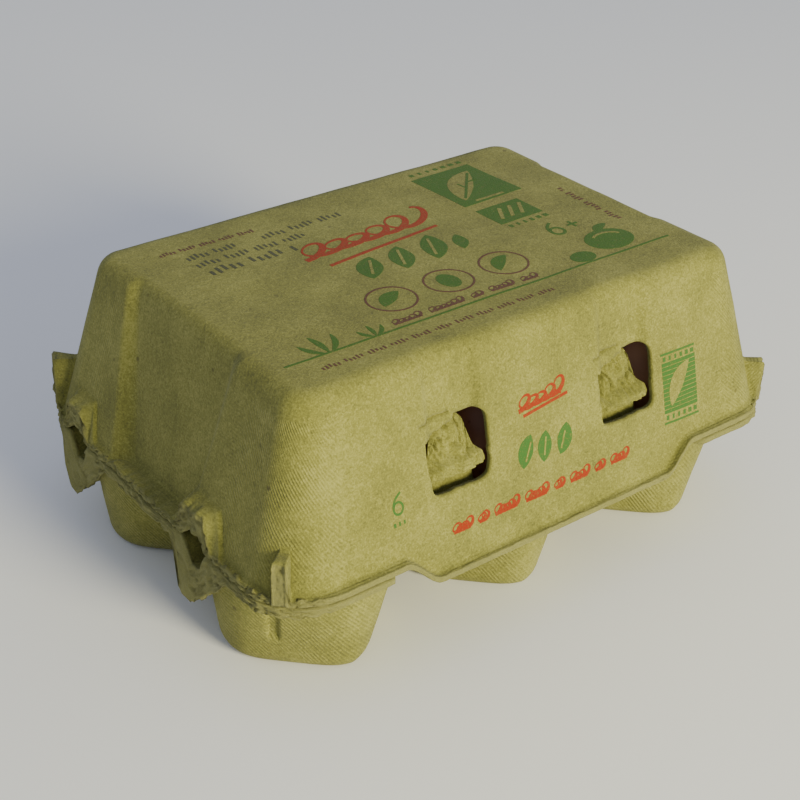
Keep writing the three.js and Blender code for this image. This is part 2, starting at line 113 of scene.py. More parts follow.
# Tray
PITCH_X = 50.0
PITCH_Y = 51.0
FOOT_EDGE = 3.0
CUP_PROFILE = (
    (0.0, 19.1, 21.2, 16.9, -1.5),
    (19.0, 22.4, 23.0, 21.2, -0.5),
    (25.4, 25.0, 24.4, 24.8, 0.0),
)
FLOOR = 1.8
FRONT_EDGE = 49.7
FRONT_EDGE_HALF = 44.5
POST_TOP = 47.0
POST_LOW_RADIUS = 10.5
POST_TOP_RADIUS = 5.0
SLOT_ANGLE = math.degrees(math.atan2(0.75, 1))
SLOT_WIDTH = 3.4
SLOT_LOW = 9.2
SLOT_HIGH = 19.5
SLOT_DEPTH = 1.0
TRAY_TOP = JOINT_Z - GAP / 2
TRAY_UNDER = JOINT_Z - PULP

# Eggs
EGG_LENGTH = 55.0
EGG_BREADTH = 40.0
EGG_TAPER = 0.12
EGG_LOW = (4.0, 2.8, 3.3)
EGG_END_X = 48.4


def clamp(value):
    return min(1.0, max(0.0, value))


def soft(value):
    value = clamp(value)
    return value * value * (3 - 2 * value)


def lerp(a, b, t):
    return a + (b - a) * t


def slope(place, middle, flat, foot):
    """1 on the flat, falling to 0 at the foot, on both sides of a middle."""
    return clamp((foot - abs(place - middle)) / (foot - flat))


def waver(point, size, seed=0.0):
    """Smooth unevenness between -1 and 1 whose bumps are about the size given."""
    return noise.noise(Vector((point[0] / size + seed, point[1] / size - seed, point[2] / size + 2 * seed)))


# Making pieces


def spin_round(bm, steps):
    """Turns a profile all the way round the upright axis."""
    profile = bm.verts[:] + bm.edges[:]
    bmesh.ops.spin(
        bm, geom=profile, cent=(0, 0, 0), axis=(0, 0, 1), angle=2 * math.pi, steps=steps, use_merge=True
    )


def laid_grid(points, along, start_row, torn, marks):
    """A grid of faces with its corners moved to points[column][row]. Its UV map measures the surface in
    millimetres, along the columns and down the rows from start_row. torn[row] says how torn the pulp is there, and
    marks[column][row] how clearly it shows the screen it was dried on."""
    columns, rows = len(points) - 1, len(points[0]) - 1
    bm = bmesh.new()
    surface = bm.loops.layers.uv.new("surface")
    tear = bm.verts.layers.float.new("torn")
    mark = bm.verts.layers.float.new("marks")
    bmesh.ops.create_grid(bm, x_segments=columns, y_segments=rows, size=0.5)
    way = []
    for column in points:
        down = [0.0]
        for above, below in zip(column, column[1:]):
            down.append(down[-1] + (below - above).length)
        way.append([length - down[start_row] for length in down])
    cell = {v: (round((v.co.x + 0.5) * columns), round((v.co.y + 0.5) * rows)) for v in bm.verts}
    for v, (column, row) in cell.items():
        v.co = points[column][row]
        v[tear] = torn[row]
        v[mark] = marks[column][row]
    for face in bm.faces:
        for loop in face.loops:
            column, row = cell[loop.vert]
            loop[surface].uv = along[column], way[column][row]
    return bm


def close_skin(bm):
    bmesh.ops.remove_doubles(bm, verts=bm.verts, dist=0.002)
    bmesh.ops.dissolve_degenerate(bm, edges=bm.edges, dist=0.001)
    bmesh.ops.recalc_face_normals(bm, faces=bm.faces)


def finished(bm, name, material, body, nodes=(), smooth=True):
    """A piece in the frame's metres, riding on its body."""
    bmesh.ops.transform(bm, matrix=Matrix.Scale(0.001, 4) @ Matrix.Translation((0, SHIFT_Y, 0)), verts=bm.verts)
    for face in bm.faces:
        face.smooth = smooth
    mesh = bpy.data.meshes.new(name)
    bm.to_mesh(mesh)
    bm.free()
    piece = bpy.data.objects.new(name, mesh)
    bpy.context.scene.collection.objects.link(piece)
    if material:
        mesh.materials.append(material)
    if body:
        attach(piece, body)
    if nodes:
        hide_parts(*nodes)
    return piece


def cut_away(piece, cutters):
    """Takes each cutter out of a piece for good."""
    for cutter in cutters:
        change = piece.modifiers.new("opening", "BOOLEAN")
        change.operation = "DIFFERENCE"
        change.solver = "EXACT"
        change.object = cutter
    graph = bpy.context.evaluated_depsgraph_get()
    cut = bpy.data.meshes.new_from_object(
        piece.evaluated_get(graph), preserve_all_data_layers=True, depsgraph=graph
    )
    piece.modifiers.clear()
    piece.data = cut
    for cutter in cutters:
        bpy.data.objects.remove(cutter)


# Places round the rim


def top_reach(direction):
    return TOP_HALF_X if direction[0] else TOP_FRONT if direction[1] < 0 else TOP_BACK


def station(distance):
    """A place round the rim, from the left end of the front, counter-clockwise: where it lies on the rim and
    on the sharp outline of the top, and which way is out."""
    for along, out in (((1, 0), (0, -1)), ((0, 1), (1, 0)), ((-1, 0), (0, 1)), ((0, -1), (-1, 0))):
        along, out = Vector(along), Vector(out)
        rim_along, rim_out = (RIM_HALF_Y, RIM_HALF_X) if out.x else (RIM_HALF_X, RIM_HALF_Y)
        straight = rim_along - RIM_CORNER
        top_out = top_reach(out) - TOP_CORNER
        if distance <= 2 * straight:
            u = distance - straight
            side = -1 if u < 0 else 1
            top_straight = top_reach(along * side) - TOP_CORNER
            kept = 0.84 * top_straight
            beyond = max(0.0, abs(u) - kept) / (straight - kept)
            on_top = side * (min(abs(u), kept) + beyond * (top_straight - kept))
            return SimpleNamespace(
                rim=along * u + out * rim_out,
                top=along * on_top + out * (top_out + TOP_CORNER),
                out=out,
                from_end=None,
            )
        distance -= 2 * straight
        if distance <= RIM_CORNER * math.pi / 2:
            angle = distance / RIM_CORNER
            turn = along * math.sin(angle) + out * math.cos(angle)
            return SimpleNamespace(
                rim=along * straight + out * (rim_out - RIM_CORNER) + turn * RIM_CORNER,
                top=along * (top_reach(along) - TOP_CORNER) + out * top_out + turn * TOP_CORNER,
                out=turn,
                from_end=math.degrees(angle) if out.x else 90 - math.degrees(angle),
            )
        distance -= RIM_CORNER * math.pi / 2
    return station(0)


def around_lug(s):
    """How far round the corner a place lies from the middle of the corner's rib, or None off the corners."""
    if s.from_end is None:
        return None
    return math.radians(s.from_end - LUG_FROM_END) * RIM_CORNER


def arch(s, form):
    """How high the arches stand on the rim at a place."""
    if abs(s.rim.x) <= END_X:
        return 0.0
    rise, flat, foot = form
    return rise * max(soft(slope(s.rim.y, y, flat * wide, foot * wide)) for y, wide in zip(TUNNELS_Y, ARCH_WIDE))


def along_tunnel(s, flat, foot):
    if abs(s.rim.x) <= END_X:
        return 0.0
    return max(slope(s.rim.y, middle, flat, foot) for middle in TUNNELS_Y)


def measured(s):
    """Adds to a station the heights of the rim there, and its outer edge."""
    s.front = s.out.y < -0.99
    s.drop = FLAP_DROP * soft(slope(s.rim.x, 0, FLAP_HALF, FLAP_SHOULDER)) if s.front else 0.0
    across = around_lug(s)
    s.across = across
    s.lug = 0.0 if across is None else slope(across, 0, LUG_HALF, LUG_HALF + LUG_SIDE)
    lug = (LUG_RISE_BACK if s.rim.y > 0 else LUG_RISE_FRONT) * s.lug
    flange = JOINT_Z + PULP - s.drop
    s.outer = flange + max(arch(s, ARCH_OUT), lug)
    s.inner = flange + max(arch(s, ARCH_IN), lug)
    s.under = JOINT_Z + GAP / 2 - s.drop + HOLE_RISE * along_tunnel(s, HOLE_FLAT, HOLE_FOOT)
    back = s.rim.y > 0
    share = soft(slope(s.rim.x, 0, HINGE_FULL, HINGE_END)) if back else s.drop / FLAP_DROP
    s.edge = Vector((s.rim.x, lerp(s.rim.y, HINGE_Y if back else FLAP_EDGE_Y, share)))
    s.raw = 1.0 * soft((abs(s.rim.x) - 58) / 12) * (1 - 0.8 * s.lug) + 0.25
    s.corner = 1.0
    if s.from_end is None:
        on_end = abs(s.out.x) > 0.5
        half, place = (RIM_HALF_Y, s.rim.y) if on_end else (RIM_HALF_X, s.rim.x)
        from_corner = half - RIM_CORNER - abs(place)
        s.corner = soft(1 - (from_corner - (8 if on_end else 1)) / (12 if on_end else 8))
    return s


def round_places():
    """Distances round the rim, closer together at the ribs and tunnels."""
    length = 4 * (RIM_HALF_X + RIM_HALF_Y - 2 * RIM_CORNER) + 2 * math.pi * RIM_CORNER
    places = [0.0]
    while places[-1] < length - 0.4:
        s = station(places[-1])
        across = around_lug(s)
        near_lug = across is not None and abs(across) < 3.2
        step = 0.3 if near_lug else 0.5 if abs(s.rim.x) > END_X + 6 else 0.86
        places.append(places[-1] + step)
    places[-1] = length
    return places


# Lid


def indent(s, height):
    """How far the wall is pressed in at a height."""
    t = clamp((height - JOINT_Z) / (HEIGHT - JOINT_Z))
    if s.front:
        across = max(slope(s.rim.x, x, GROOVE_HALF - GROOVE_SIDE, GROOVE_HALF) for x in (-WINDOW_X, WINDOW_X))
        up = clamp((height - WINDOW_LOW) / (WINDOW_HIGH - WINDOW_LOW))
        return soft(across) * up * lerp(GROOVE_LOW_DEPTH, GROOVE_TOP_DEPTH, clamp((height - WINDOW_HIGH) / 12))
    if abs(s.rim.x) <= END_X:
        return 0.0
    back_slope = lerp(RECESS_BACK_SLOPE_LOW, RECESS_BACK_SLOPE_TOP, t)
    from_back = (lerp(RECESS_BACK_LOW, RECESS_BACK_TOP, t) - s.rim.y) / back_slope
    from_front = (s.rim.y + lerp(RECESS_FRONT_LOW, RECESS_FRONT_TOP, t)) / RECESS_FRONT_SLOPE
    return soft(min(from_back, from_front)) * lerp(RECESS_LOW_DEPTH, RECESS_TOP_DEPTH, t)


def wall_point(s, height, set_back=0.0):
    t = (height - JOINT_Z) / (HEIGHT - JOINT_Z)
    plan = (s.rim - s.out * LIP).lerp(s.top, t) if t <= 1 else s.top.copy()
    plan -= s.out * (indent(s, height) + set_back)
    return Vector((plan.x, plan.y, height))


def edge_point(s, t, set_back=0.0, drop=0.0):
    """The rounded edge between wall and top: t is 0 on the wall and 1 on the top."""
    reach = TOP_EDGE - set_back * 0.4
    low = wall_point(s, HEIGHT - drop - reach, set_back)
    sharp = wall_point(s, HEIGHT - drop, set_back)
    flat = s.top - s.out * (reach + set_back)
    high = Vector((flat.x, flat.y, HEIGHT - drop))
    return low * (1 - t) ** 2 + sharp * (2 * t * (1 - t)) + high * t**2


def dent(point):
    """How far a face of the pulp sinks below its true place: slow waves and small bumps."""
    return 0.22 * (1 + waver(point, 17, 3)) + 0.05 * (1 + waver(point, 6, 8))


def sunk(point, out, share=1.0):
    """A point moved in by the dent there; share is 1 on a wall and 0 on the top."""
    depth = dent(point)
    return Vector(
        (point.x - out.x * depth * share, point.y - out.y * depth * share, point.z - depth * (1 - share))
    )


def top_rows(s, t):
    flat = edge_point(s, 1)
    return sunk(Vector((flat.x * t, flat.y * t, HEIGHT)), s.out, 0)


def edge_rows(s, t):
    return sunk(edge_point(s, 1 - t), s.out, t)


def wall_rows(s, t):
    height = lerp(HEIGHT - TOP_EDGE, s.inner + FOOT_FILLET, t)
    point = wall_point(s, height)
    return sunk(point, s.out)


def fillet_rows(s, t):
    foot = wall_rows(s, 1)
    turn = t * math.pi / 2
    reach = FOOT_FILLET * (1 - math.cos(turn))
    return Vector(
        (foot.x + s.out.x * reach, foot.y + s.out.y * reach, s.inner + FOOT_FILLET * (1 - math.sin(turn)))
    )


def flange_rows(s, t):
    start, end = fillet_rows(s, 1), lip_rows(s, 0)
    point = start.lerp(end, t)
    return point + Vector((0, 0, 0.12 * waver(point, 3, 5) * math.sin(math.pi * t)))


def torn_depth(place, raw):
    """How far a torn edge lies in at a place: lumps, layers that have come apart and the cracks between them."""
    x, y, z = place
    lump = 0.5 + 0.5 * waver(place, 1.9, 2)
    layer = 0.5 + 0.5 * waver((x * 0.5, y * 0.5, z * 2.2), 1.0, 7)
    crack = max(0.0, 1 - abs(waver((x * 0.35, y * 0.35, z * 1.3), 0.9, 11)) / 0.16)
    grain = 0.5 + 0.5 * waver(place, 0.55, 5)
    return raw * (0.6 * lump + 0.4 * layer + 0.6 * crack + 0.4 * grain)


def lip_rows(s, t):
    """The rim's cut outer face, ragged at the ends, with a notch in the top of each corner rib."""
    ragged = 0.6 * s.raw * waver((s.edge.x, s.edge.y, 0), 1.7, 9)
    thick = s.outer + ragged - s.under
    height = s.under + thick * (1 - t)
    edge = min(t, 1 - t) * thick
    inward = 0.45 - math.sqrt(max(0.0, 0.45**2 - max(0.0, 0.45 - edge) ** 2))
    place = Vector((s.edge.x, s.edge.y, height))
    inward += torn_depth(place, s.raw)
    if s.lug > 0:
        inward += 0.7 * slope(s.across, -0.1, 0.8, 1.2) * slope(height, s.outer - 1.5, 0.7, 1.2) * s.lug
        inward += 0.3 * slope(s.across, 0, 1.15, 1.45) * s.lug
    return Vector((place.x - s.out.x * inward, place.y - s.out.y * inward, height))


def underside_rows(s, t):
    return lip_rows(s, 1).lerp(inside_rows(s, 0), t)


def inside_rows(s, t):
    return wall_point(s, lerp(s.under, HEIGHT - PULP - TOP_EDGE, t), PULP)


def inner_edge_rows(s, t):
    return edge_point(s, t, PULP, PULP)


def ceiling_rows(s, t):
    flat = edge_point(s, 1, PULP, PULP)
    return Vector((flat.x * (1 - t), flat.y * (1 - t), HEIGHT - PULP))


LID_PARTS = (
    (top_rows, 24, 0.0),
    (edge_rows, 9, 0.0),
    (wall_rows, 34, 0.0),
    (fillet_rows, 4, 0.0),
    (flange_rows, 4, 0.15),
    (lip_rows, 17, 1.0),
    (underside_rows, 3, 0.5),
    (inside_rows, 7, 0.0),
    (inner_edge_rows, 3, 0.0),
    (ceiling_rows, 3, 0.0),
)


def screen_marks(s, form):
    """How clearly the lid shows the screen: most on its corners and on the rim."""
    if form is wall_rows:
        return 0.12 + 0.88 * s.corner
    return 0.45 if form in (fillet_rows, flange_rows) else 0.1 * s.corner if form is edge_rows else 0.0


def window_cutter(middle, seed):
    """An opening with soft corners and a ragged edge, with a strip left hanging at the top on its left side."""
    bm = bmesh.new()
    made = bmesh.ops.create_circle(bm, cap_ends=True, segments=120, radius=1)
    half_x, half_z = WINDOW_WIDTH / 2, (WINDOW_HIGH - WINDOW_LOW) / 2
    for v in made["verts"]:
        c, s = v.co.x, v.co.y
        reach = ((abs(c) / half_x) ** 6 + (abs(s) / half_z) ** 6) ** (-1 / 6)
        reach -= 0.22 * (1 + noise.noise(Vector((3.1 * c, 3.1 * s, seed)))) * (1 if s > -0.2 else 2)
        x, z = c * reach, s * reach
        strip = lerp(3.5, 1.3, (x + half_x) / (1.05 * half_x)) if x < 0.05 * half_x else 0.0
        strip += 0.7 * noise.noise(Vector((x / 0.9, seed, 0))) if strip else 0.0
        v.co = (middle + x, -60, (WINDOW_LOW + WINDOW_HIGH) / 2 + min(z, half_z - strip))
    grown = bmesh.ops.extrude_face_region(bm, geom=list(bm.faces))
    moved = [g for g in grown["geom"] if isinstance(g, bmesh.types.BMVert)]
    bmesh.ops.translate(bm, verts=moved, vec=(0, 25, 0))
    tear = bm.verts.layers.float.new("torn")
    for v in bm.verts:
        v[tear] = 1.0
    bmesh.ops.recalc_face_normals(bm, faces=bm.faces)
    return finished(bm, "cutter", None, None)


def crease_cutter(middle, seed):
    """A thin crack cut through the wall just above the strip left at the top of a window."""
    bm = bmesh.new()
    bmesh.ops.create_grid(bm, x_segments=40, y_segments=1, size=0.5)
    for v in bm.verts:
        u, side = v.co.x + 0.5, 2 * v.co.y
        x = lerp(-WINDOW_WIDTH / 2 - 0.9, -0.4, u)
        z = WINDOW_HIGH + 0.5 + 0.35 * noise.noise(Vector((x / 1.6, seed, 3)))
        v.co = (middle + x, 0, z + side * (0.12 + 0.16 * math.sin(math.pi * u)))
        v.co.y = front_wall_y(v.co.z) + 2.6
    grown = bmesh.ops.extrude_face_region(bm, geom=list(bm.faces))
    moved = [g for g in grown["geom"] if isinstance(g, bmesh.types.BMVert)]
    bmesh.ops.translate(bm, verts=moved, vec=(0, -8, 0))
    bmesh.ops.recalc_face_normals(bm, faces=bm.faces)
    return finished(bm, "cutter", None, None)


def make_lid(material):
    places = round_places()
    stations = [measured(station(place)) for place in places]
    stations[-1] = stations[0]
    rows = [(LID_PARTS[0][0], 0.0, 0.0)]
    for form, count, torn in LID_PARTS:
        rows += [(form, k / count, torn) for k in range(1, count + 1)]
    points = [[form(s, t) for form, t, _ in rows] for s in stations]
    wall_start = LID_PARTS[0][1] + LID_PARTS[1][1]
    marks = [[screen_marks(s, form) for form, _, _ in rows] for s in stations]
    bm = laid_grid(points, places, wall_start, [torn for _, _, torn in rows], marks)
    close_skin(bm)
    lid = finished(bm, "carton_lid", material, "cover", ["lid"])
    cutters = []
    for middle, seed in ((-WINDOW_X, 2.0), (WINDOW_X, 9.0)):
        cutters += [window_cutter(middle, seed), crease_cutter(middle, seed)]
    cut_away(lid, cutters)
    return lid


# Tray


def cup_reach(angle, height):
    """How far the outside of a cup lies from its middle, and the cup's shift along X."""
    upper = 1 if height <= CUP_PROFILE[1][0] else 2
    below, above = CUP_PROFILE[upper - 1], CUP_PROFILE[upper]
    t = (height - below[0]) / (above[0] - below[0])
    _, half_x, half_y, diagonal, shift = (lerp(a, b, t) for a, b in zip(below, above))
    rounded = 0.0
    if height < FOOT_EDGE:
        rounded = FOOT_EDGE - math.sqrt(FOOT_EDGE**2 - (FOOT_EDGE - height) ** 2)
    sharpness = lerp(13, 7, clamp(height / JOINT_Z))
    c, s = abs(math.cos(angle)), abs(math.sin(angle))
    faces = (
        c / (half_x - 0.8 * rounded),
        s / (half_y - 0.8 * rounded),
        (c + s) / math.sqrt(2) / (diagonal - 0.8 * rounded),
    )
    return sum(face**sharpness for face in faces) ** (-1 / sharpness), shift


def cell_edge(cx, cy, angle):
    """Where a ray from a cup's middle leaves the cup's share of the rim."""
    c, s = math.cos(angle), math.sin(angle)
    half_x = RIM_HALF_X - PITCH_X if cx * c > 0 else PITCH_X / 2
    half_y = RIM_HALF_Y - PITCH_Y / 2 if cy * s > 0 else PITCH_Y / 2
    reach = min(half_x / max(1e-9, abs(c)), half_y / max(1e-9, abs(s)))
    x, y = cx + reach * c, cy + reach * s
    over_x, over_y = abs(x) - (RIM_HALF_X - RIM_CORNER), abs(y) - (RIM_HALF_Y - RIM_CORNER)
    if over_x > 0 and over_y > 0:
        pull = RIM_CORNER / math.hypot(over_x, over_y)
        x = math.copysign(RIM_HALF_X - RIM_CORNER + over_x * pull, x)
        y = math.copysign(RIM_HALF_Y - RIM_CORNER + over_y * pull, y)
    if y > 0:
        share = soft(slope(x, 0, HINGE_FULL, HINGE_END)) * clamp((y - 48) / 6.2)
        y = lerp(y, HINGE_Y, share) if y > 48 else y
    else:
        y = max(y, -lerp(RIM_HALF_Y, FRONT_EDGE, slope(x, 0, FRONT_EDGE_HALF - 1, FRONT_EDGE_HALF + 2)))
    return Vector((x, y))


def on_shared_edge(point):
    """Whether a point lies on the line between two cups."""
    between = min(abs(abs(point.x) - PITCH_X / 2), abs(point.y))
    return between < 0.01


def cell_ray(cx, cy, angle):
    edge = cell_edge(cx, cy, angle)
    middle = Vector((cx, cy))
    ray = SimpleNamespace(cx=cx, cy=cy, angle=angle, edge=edge, limit=(edge - middle).length)
    ray.outer = not on_shared_edge(edge)
    ray.way = (edge - middle).normalized()
    return ray


def cup_place(ray, height, thinner, z):
    """A point of a cup's wall, kept inside the cup's share of the rim."""
    reach, shift = cup_reach(ray.angle, height)
    reach -= thinner
    x = ray.cx + shift + reach * math.cos(ray.angle)
    y = ray.cy + reach * math.sin(ray.angle)
    far = Vector((x - ray.cx, y - ray.cy)).length
    if far > ray.limit - 0.001:
        x, y = ray.edge
    return Vector((x, y, z))


def lowered(point, depth_line):
    """Top faces dip into the tunnels, and undersides hang below them."""
    if abs(point.x) > END_X:
        point.z = min(point.z, min(depth_line(point.y, middle) for middle in TUNNELS_Y))
    return point


def trough_line(y, middle):
    return lerp(JOINT_Z + 1, JOINT_Z - HOLE_DIP, slope(y, middle, HOLE_FLAT, HOLE_FOOT))


def lump_line(y, middle):
    away = y - middle
    for (start, low), (end, high) in zip(LUMP, LUMP[1:]):
        if start < away <= end:
            return TRAY_UNDER - lerp(low, high, (away - start) / (end - start))
    return TRAY_UNDER


def foot_heights(count):
    return [FOOT_EDGE * (1 - math.cos(math.pi / 2 * k / count)) for k in range(count + 1)]


def inner_point(ray, height):
    z = height + FLOOR * (1 - height / JOINT_Z)
    return lowered(cup_place(ray, height, PULP, z), trough_line)


def mouth_point(ray, t):
    """The rounded mouth of a cup, from its wall to the rim."""
    radius = 1.3
    turn = t * math.pi / 2
    start = cup_place(ray, JOINT_Z - 1.8, PULP, TRAY_TOP - radius)
    reach = radius * (1 - math.cos(turn))
    point = Vector((start.x + ray.way.x * reach, start.y + ray.way.y * reach, start.z + radius * math.sin(turn)))
    return lowered(point, trough_line)


def ledge_point(ray, t):
    start = mouth_point(ray, 1)
    end = Vector((ray.edge.x, ray.edge.y, TRAY_TOP))
    if ray.outer:
        end = rim_face(ray, 0)
    point = start.lerp(end, t)
    point.z = TRAY_TOP
    return lowered(point, trough_line)


def rim_face(ray, t):
    """The rim's cut outer face, ragged at the ends."""
    high = lowered(Vector((ray.edge.x, ray.edge.y, TRAY_TOP)), trough_line).z
    low = lowered(Vector((ray.edge.x, ray.edge.y, TRAY_UNDER)), lump_line).z
    place = Vector((ray.edge.x, ray.edge.y, lerp(high, low, t)))
    if not ray.outer:
        return place
    raw = soft((abs(place.x) - 58) / 12) + 0.25
    low -= (raw - 0.2) * (0.9 + 0.9 * waver((place.x, place.y, 0), 2.1, 12))
    place.z = lerp(high, low, t)
    edge = min(t, 1 - t) * (high - low)
    inward = 0.45 - math.sqrt(max(0.0, 0.45**2 - max(0.0, 0.45 - edge) ** 2))
    inward += torn_depth(place, raw)
    if place.y > 50 and abs(place.x) < HINGE_FULL:
        inward *= 0.6
    return Vector((place.x - ray.way.x * inward, place.y - ray.way.y * inward, place.z))


def under_point(ray, t):
    """The rounding between the rim's underside and the cup's outer wall."""
    radius = 1.4
    turn = t * math.pi / 2
    wall = cup_place(ray, TRAY_UNDER - radius, 0, TRAY_UNDER - radius)
    reach = radius * (1 - math.sin(turn))
    x, y = wall.x + ray.way.x * reach, wall.y + ray.way.y * reach
    if Vector((x - ray.cx, y - ray.cy)).length > ray.limit - (0.9 if ray.outer else 0):
        x, y = rim_face(ray, 1).xy if ray.outer else ray.edge
    return lowered(Vector((x, y, TRAY_UNDER - radius * (1 - math.cos(turn)))), lump_line)


def outer_point(ray, height):
    """The outside of a cup, with a shallow upright slot in the outer corner of a corner cup."""
    point = cup_place(ray, height, 0, height)
    if ray.cx:
        toward = math.atan2(math.copysign(0.75, ray.cy), math.copysign(1, ray.cx))
        off = (ray.angle - toward + math.pi) % (2 * math.pi) - math.pi
        across = slope(off * 26, 0, SLOT_WIDTH / 2 - 0.25, SLOT_WIDTH / 2 + 0.25)
        half = (SLOT_HIGH - SLOT_LOW) / 2
        up = slope(height, (SLOT_LOW + SLOT_HIGH) / 2, half - 0.3, half + 0.3)
        inward = SLOT_DEPTH * across * up
        point.x -= ray.way.x * inward
        point.y -= ray.way.y * inward
    bump = 0.12 * waver(point, 6, 4) * clamp(height / 4)
    point.x -= ray.way.x * bump
    point.y -= ray.way.y * bump
    return lowered(point, lump_line)


def cup_angles():
    """Angles round a cup, the same on both sides of each axis, so that neighbouring cups meet point to point."""
    corners = [math.degrees(math.atan2(y, x)) for x, y in ((25, 25.5), (26, 25.5), (25, 28.7))]
    quarter = [2.25 * k for k in range(41)]
    quarter = [a for a in quarter if abs(a - SLOT_ANGLE) > 5 and min(abs(a - c) for c in corners) > 0.6]
    quarter += [SLOT_ANGLE + 0.8 * k for k in range(-5, 6)] + corners
    quarter = sorted(quarter)
    half = quarter + [180 - a for a in reversed(quarter)]
    whole = half + [a + 180 for a in half]
    return [math.radians(a) for a in whole]


def cup_cell(cx, cy):
    """One cup with its share of the rim: one closed skin, from the middle of its floor to that of its foot."""
    angles = cup_angles()
    rays = [cell_ray(cx, cy, angle) for angle in angles]
    rays.append(rays[0])
    inner_heights = foot_heights(5)[1:] + [lerp(FOOT_EDGE, JOINT_Z - 1.9, (k / 16)) for k in range(1, 17)]
    outer_heights = [lerp(TRAY_UNDER - 1.5, FOOT_EDGE, k / 20) for k in range(1, 21)] + foot_heights(5)[-2::-1]
    columns, torn = [], []
    for ray in rays:
        floor, foot = inner_point(ray, 0), outer_point(ray, 0)
        column = [Vector((cx - 1.5, cy, FLOOR)).lerp(floor, k / 4) for k in range(5)]
        column += [inner_point(ray, height) for height in inner_heights]
        column += [mouth_point(ray, k / 4) for k in range(1, 5)]
        column += [ledge_point(ray, k / 3) for k in range(1, 3)]
        column += [rim_face(ray, k / 15) for k in range(16)]
        column += [under_point(ray, k / 3) for k in range(4)]
        column += [outer_point(ray, height) for height in outer_heights]
        column += [foot.lerp(Vector((cx - 1.5, cy, 0.35)), k / 4) for k in range(1, 5)]
        columns.append(column)
    head = 5 + len(inner_heights) + 4 + 2
    torn = [0.0] * head + [1.0] * 16 + [0.0] * (len(columns[0]) - head - 16)
    marks = [[0.0] * head + [0.3] * 16 + [1.0] * (len(columns[0]) - head - 16)] * len(columns)
    way_round = [0.0]
    for before, after in zip(rays, rays[1:]):
        turn = (after.angle - before.angle) % (2 * math.pi)
        way_round.append(way_round[-1] + turn * 24)
    bm = laid_grid(columns, way_round, head + 20, torn, marks)
    inside = [f for f in bm.faces if all(on_shared_edge(v.co) for v in f.verts)]
    inside = [
        f
        for f in inside
        if all(abs(abs(v.co.x) - PITCH_X / 2) < 0.01 for v in f.verts)
        or all(abs(v.co.y) < 0.01 for v in f.verts)
    ]
    bmesh.ops.delete(bm, geom=inside, context="FACES")
    mesh = bpy.data.meshes.new("cell")
    bm.to_mesh(mesh)
    bm.free()
    return mesh


def post_hole(x):
    bm = bmesh.new()
    bmesh.ops.create_cone(bm, cap_ends=True, segments=48, radius1=9.4, radius2=8.8, depth=12)
    bmesh.ops.translate(bm, verts=bm.verts, vec=(x, 0, TRAY_TOP - 2))
    return finished(bm, "cutter", None, None)


def make_tray(material):
    whole = bmesh.new()
    for i in (-1, 0, 1):
        for j in (-1, 1):
            mesh = cup_cell(i * PITCH_X, j * PITCH_Y / 2)
            whole.from_mesh(mesh)
            bpy.data.meshes.remove(mesh)
    close_skin(whole)
    tray = finished(whole, "carton_tray", material, "base", ["tray"])
    cut_away(tray, [post_hole(-PITCH_X / 2), post_hole(PITCH_X / 2)])
    return tray


def make_post(name, x, material):
    """A hollow post that keeps the lid off the eggs, open underneath."""
    low, high = TRAY_TOP - 0.15, POST_TOP
    outside = [
        (POST_LOW_RADIUS + 0.9, low - 0.3),
        (POST_LOW_RADIUS - 0.2, low + 0.5),
        (POST_LOW_RADIUS - 1.6, low + 2.4),
        (lerp(POST_LOW_RADIUS, POST_TOP_RADIUS, 0.55), lerp(low, high, 0.4)),
        (POST_TOP_RADIUS + 0.7, high - 6),
        (POST_TOP_RADIUS + 0.1, high - 2.2),
        (POST_TOP_RADIUS - 0.6, high - 0.8),
        (POST_TOP_RADIUS - 2.2, high - 0.1),
        (0.0, high),
    ]
    inside = [
        (0.0, high - PULP),
        (POST_TOP_RADIUS - 2.4, high - PULP - 0.4),
        (POST_TOP_RADIUS - 1.5, high - PULP - 3),
        (lerp(POST_LOW_RADIUS, POST_TOP_RADIUS, 0.55) - PULP, lerp(low, high, 0.4) - 1),
        (POST_LOW_RADIUS - 1.9, low - 0.6),
        (POST_LOW_RADIUS - 1.1, TRAY_UNDER - 0.3),
        (POST_LOW_RADIUS + 0.2, TRAY_UNDER + 0.1),
    ]
    bm = bmesh.new()
    corners = [bm.verts.new((r, 0, z)) for r, z in outside + inside]
    edges = [bm.edges.new(pair) for pair in zip(corners, corners[1:] + corners[:1])]
    edges = [e for e in edges if not (e.verts[0].co.x == 0 and e.verts[1].co.x == 0)]
    bmesh.ops.subdivide_edges(bm, edges=edges, cuts=2, smooth=0.6, use_grid_fill=False)
    spin_round(bm, 56)
    bmesh.ops.delete(bm, geom=[e for e in bm.edges if not e.link_faces], context="EDGES")
    bmesh.ops.translate(bm, verts=bm.verts, vec=(x, 0, 0))
    close_skin(bm)
    for v in bm.verts:
        away = Vector((v.co.x - x, v.co.y, 0))
        if away.length > 1:
            v.co -= away.normalized() * 0.25 * (1 + waver(v.co, 4, 6))
    return finished(bm, name, material, "base")


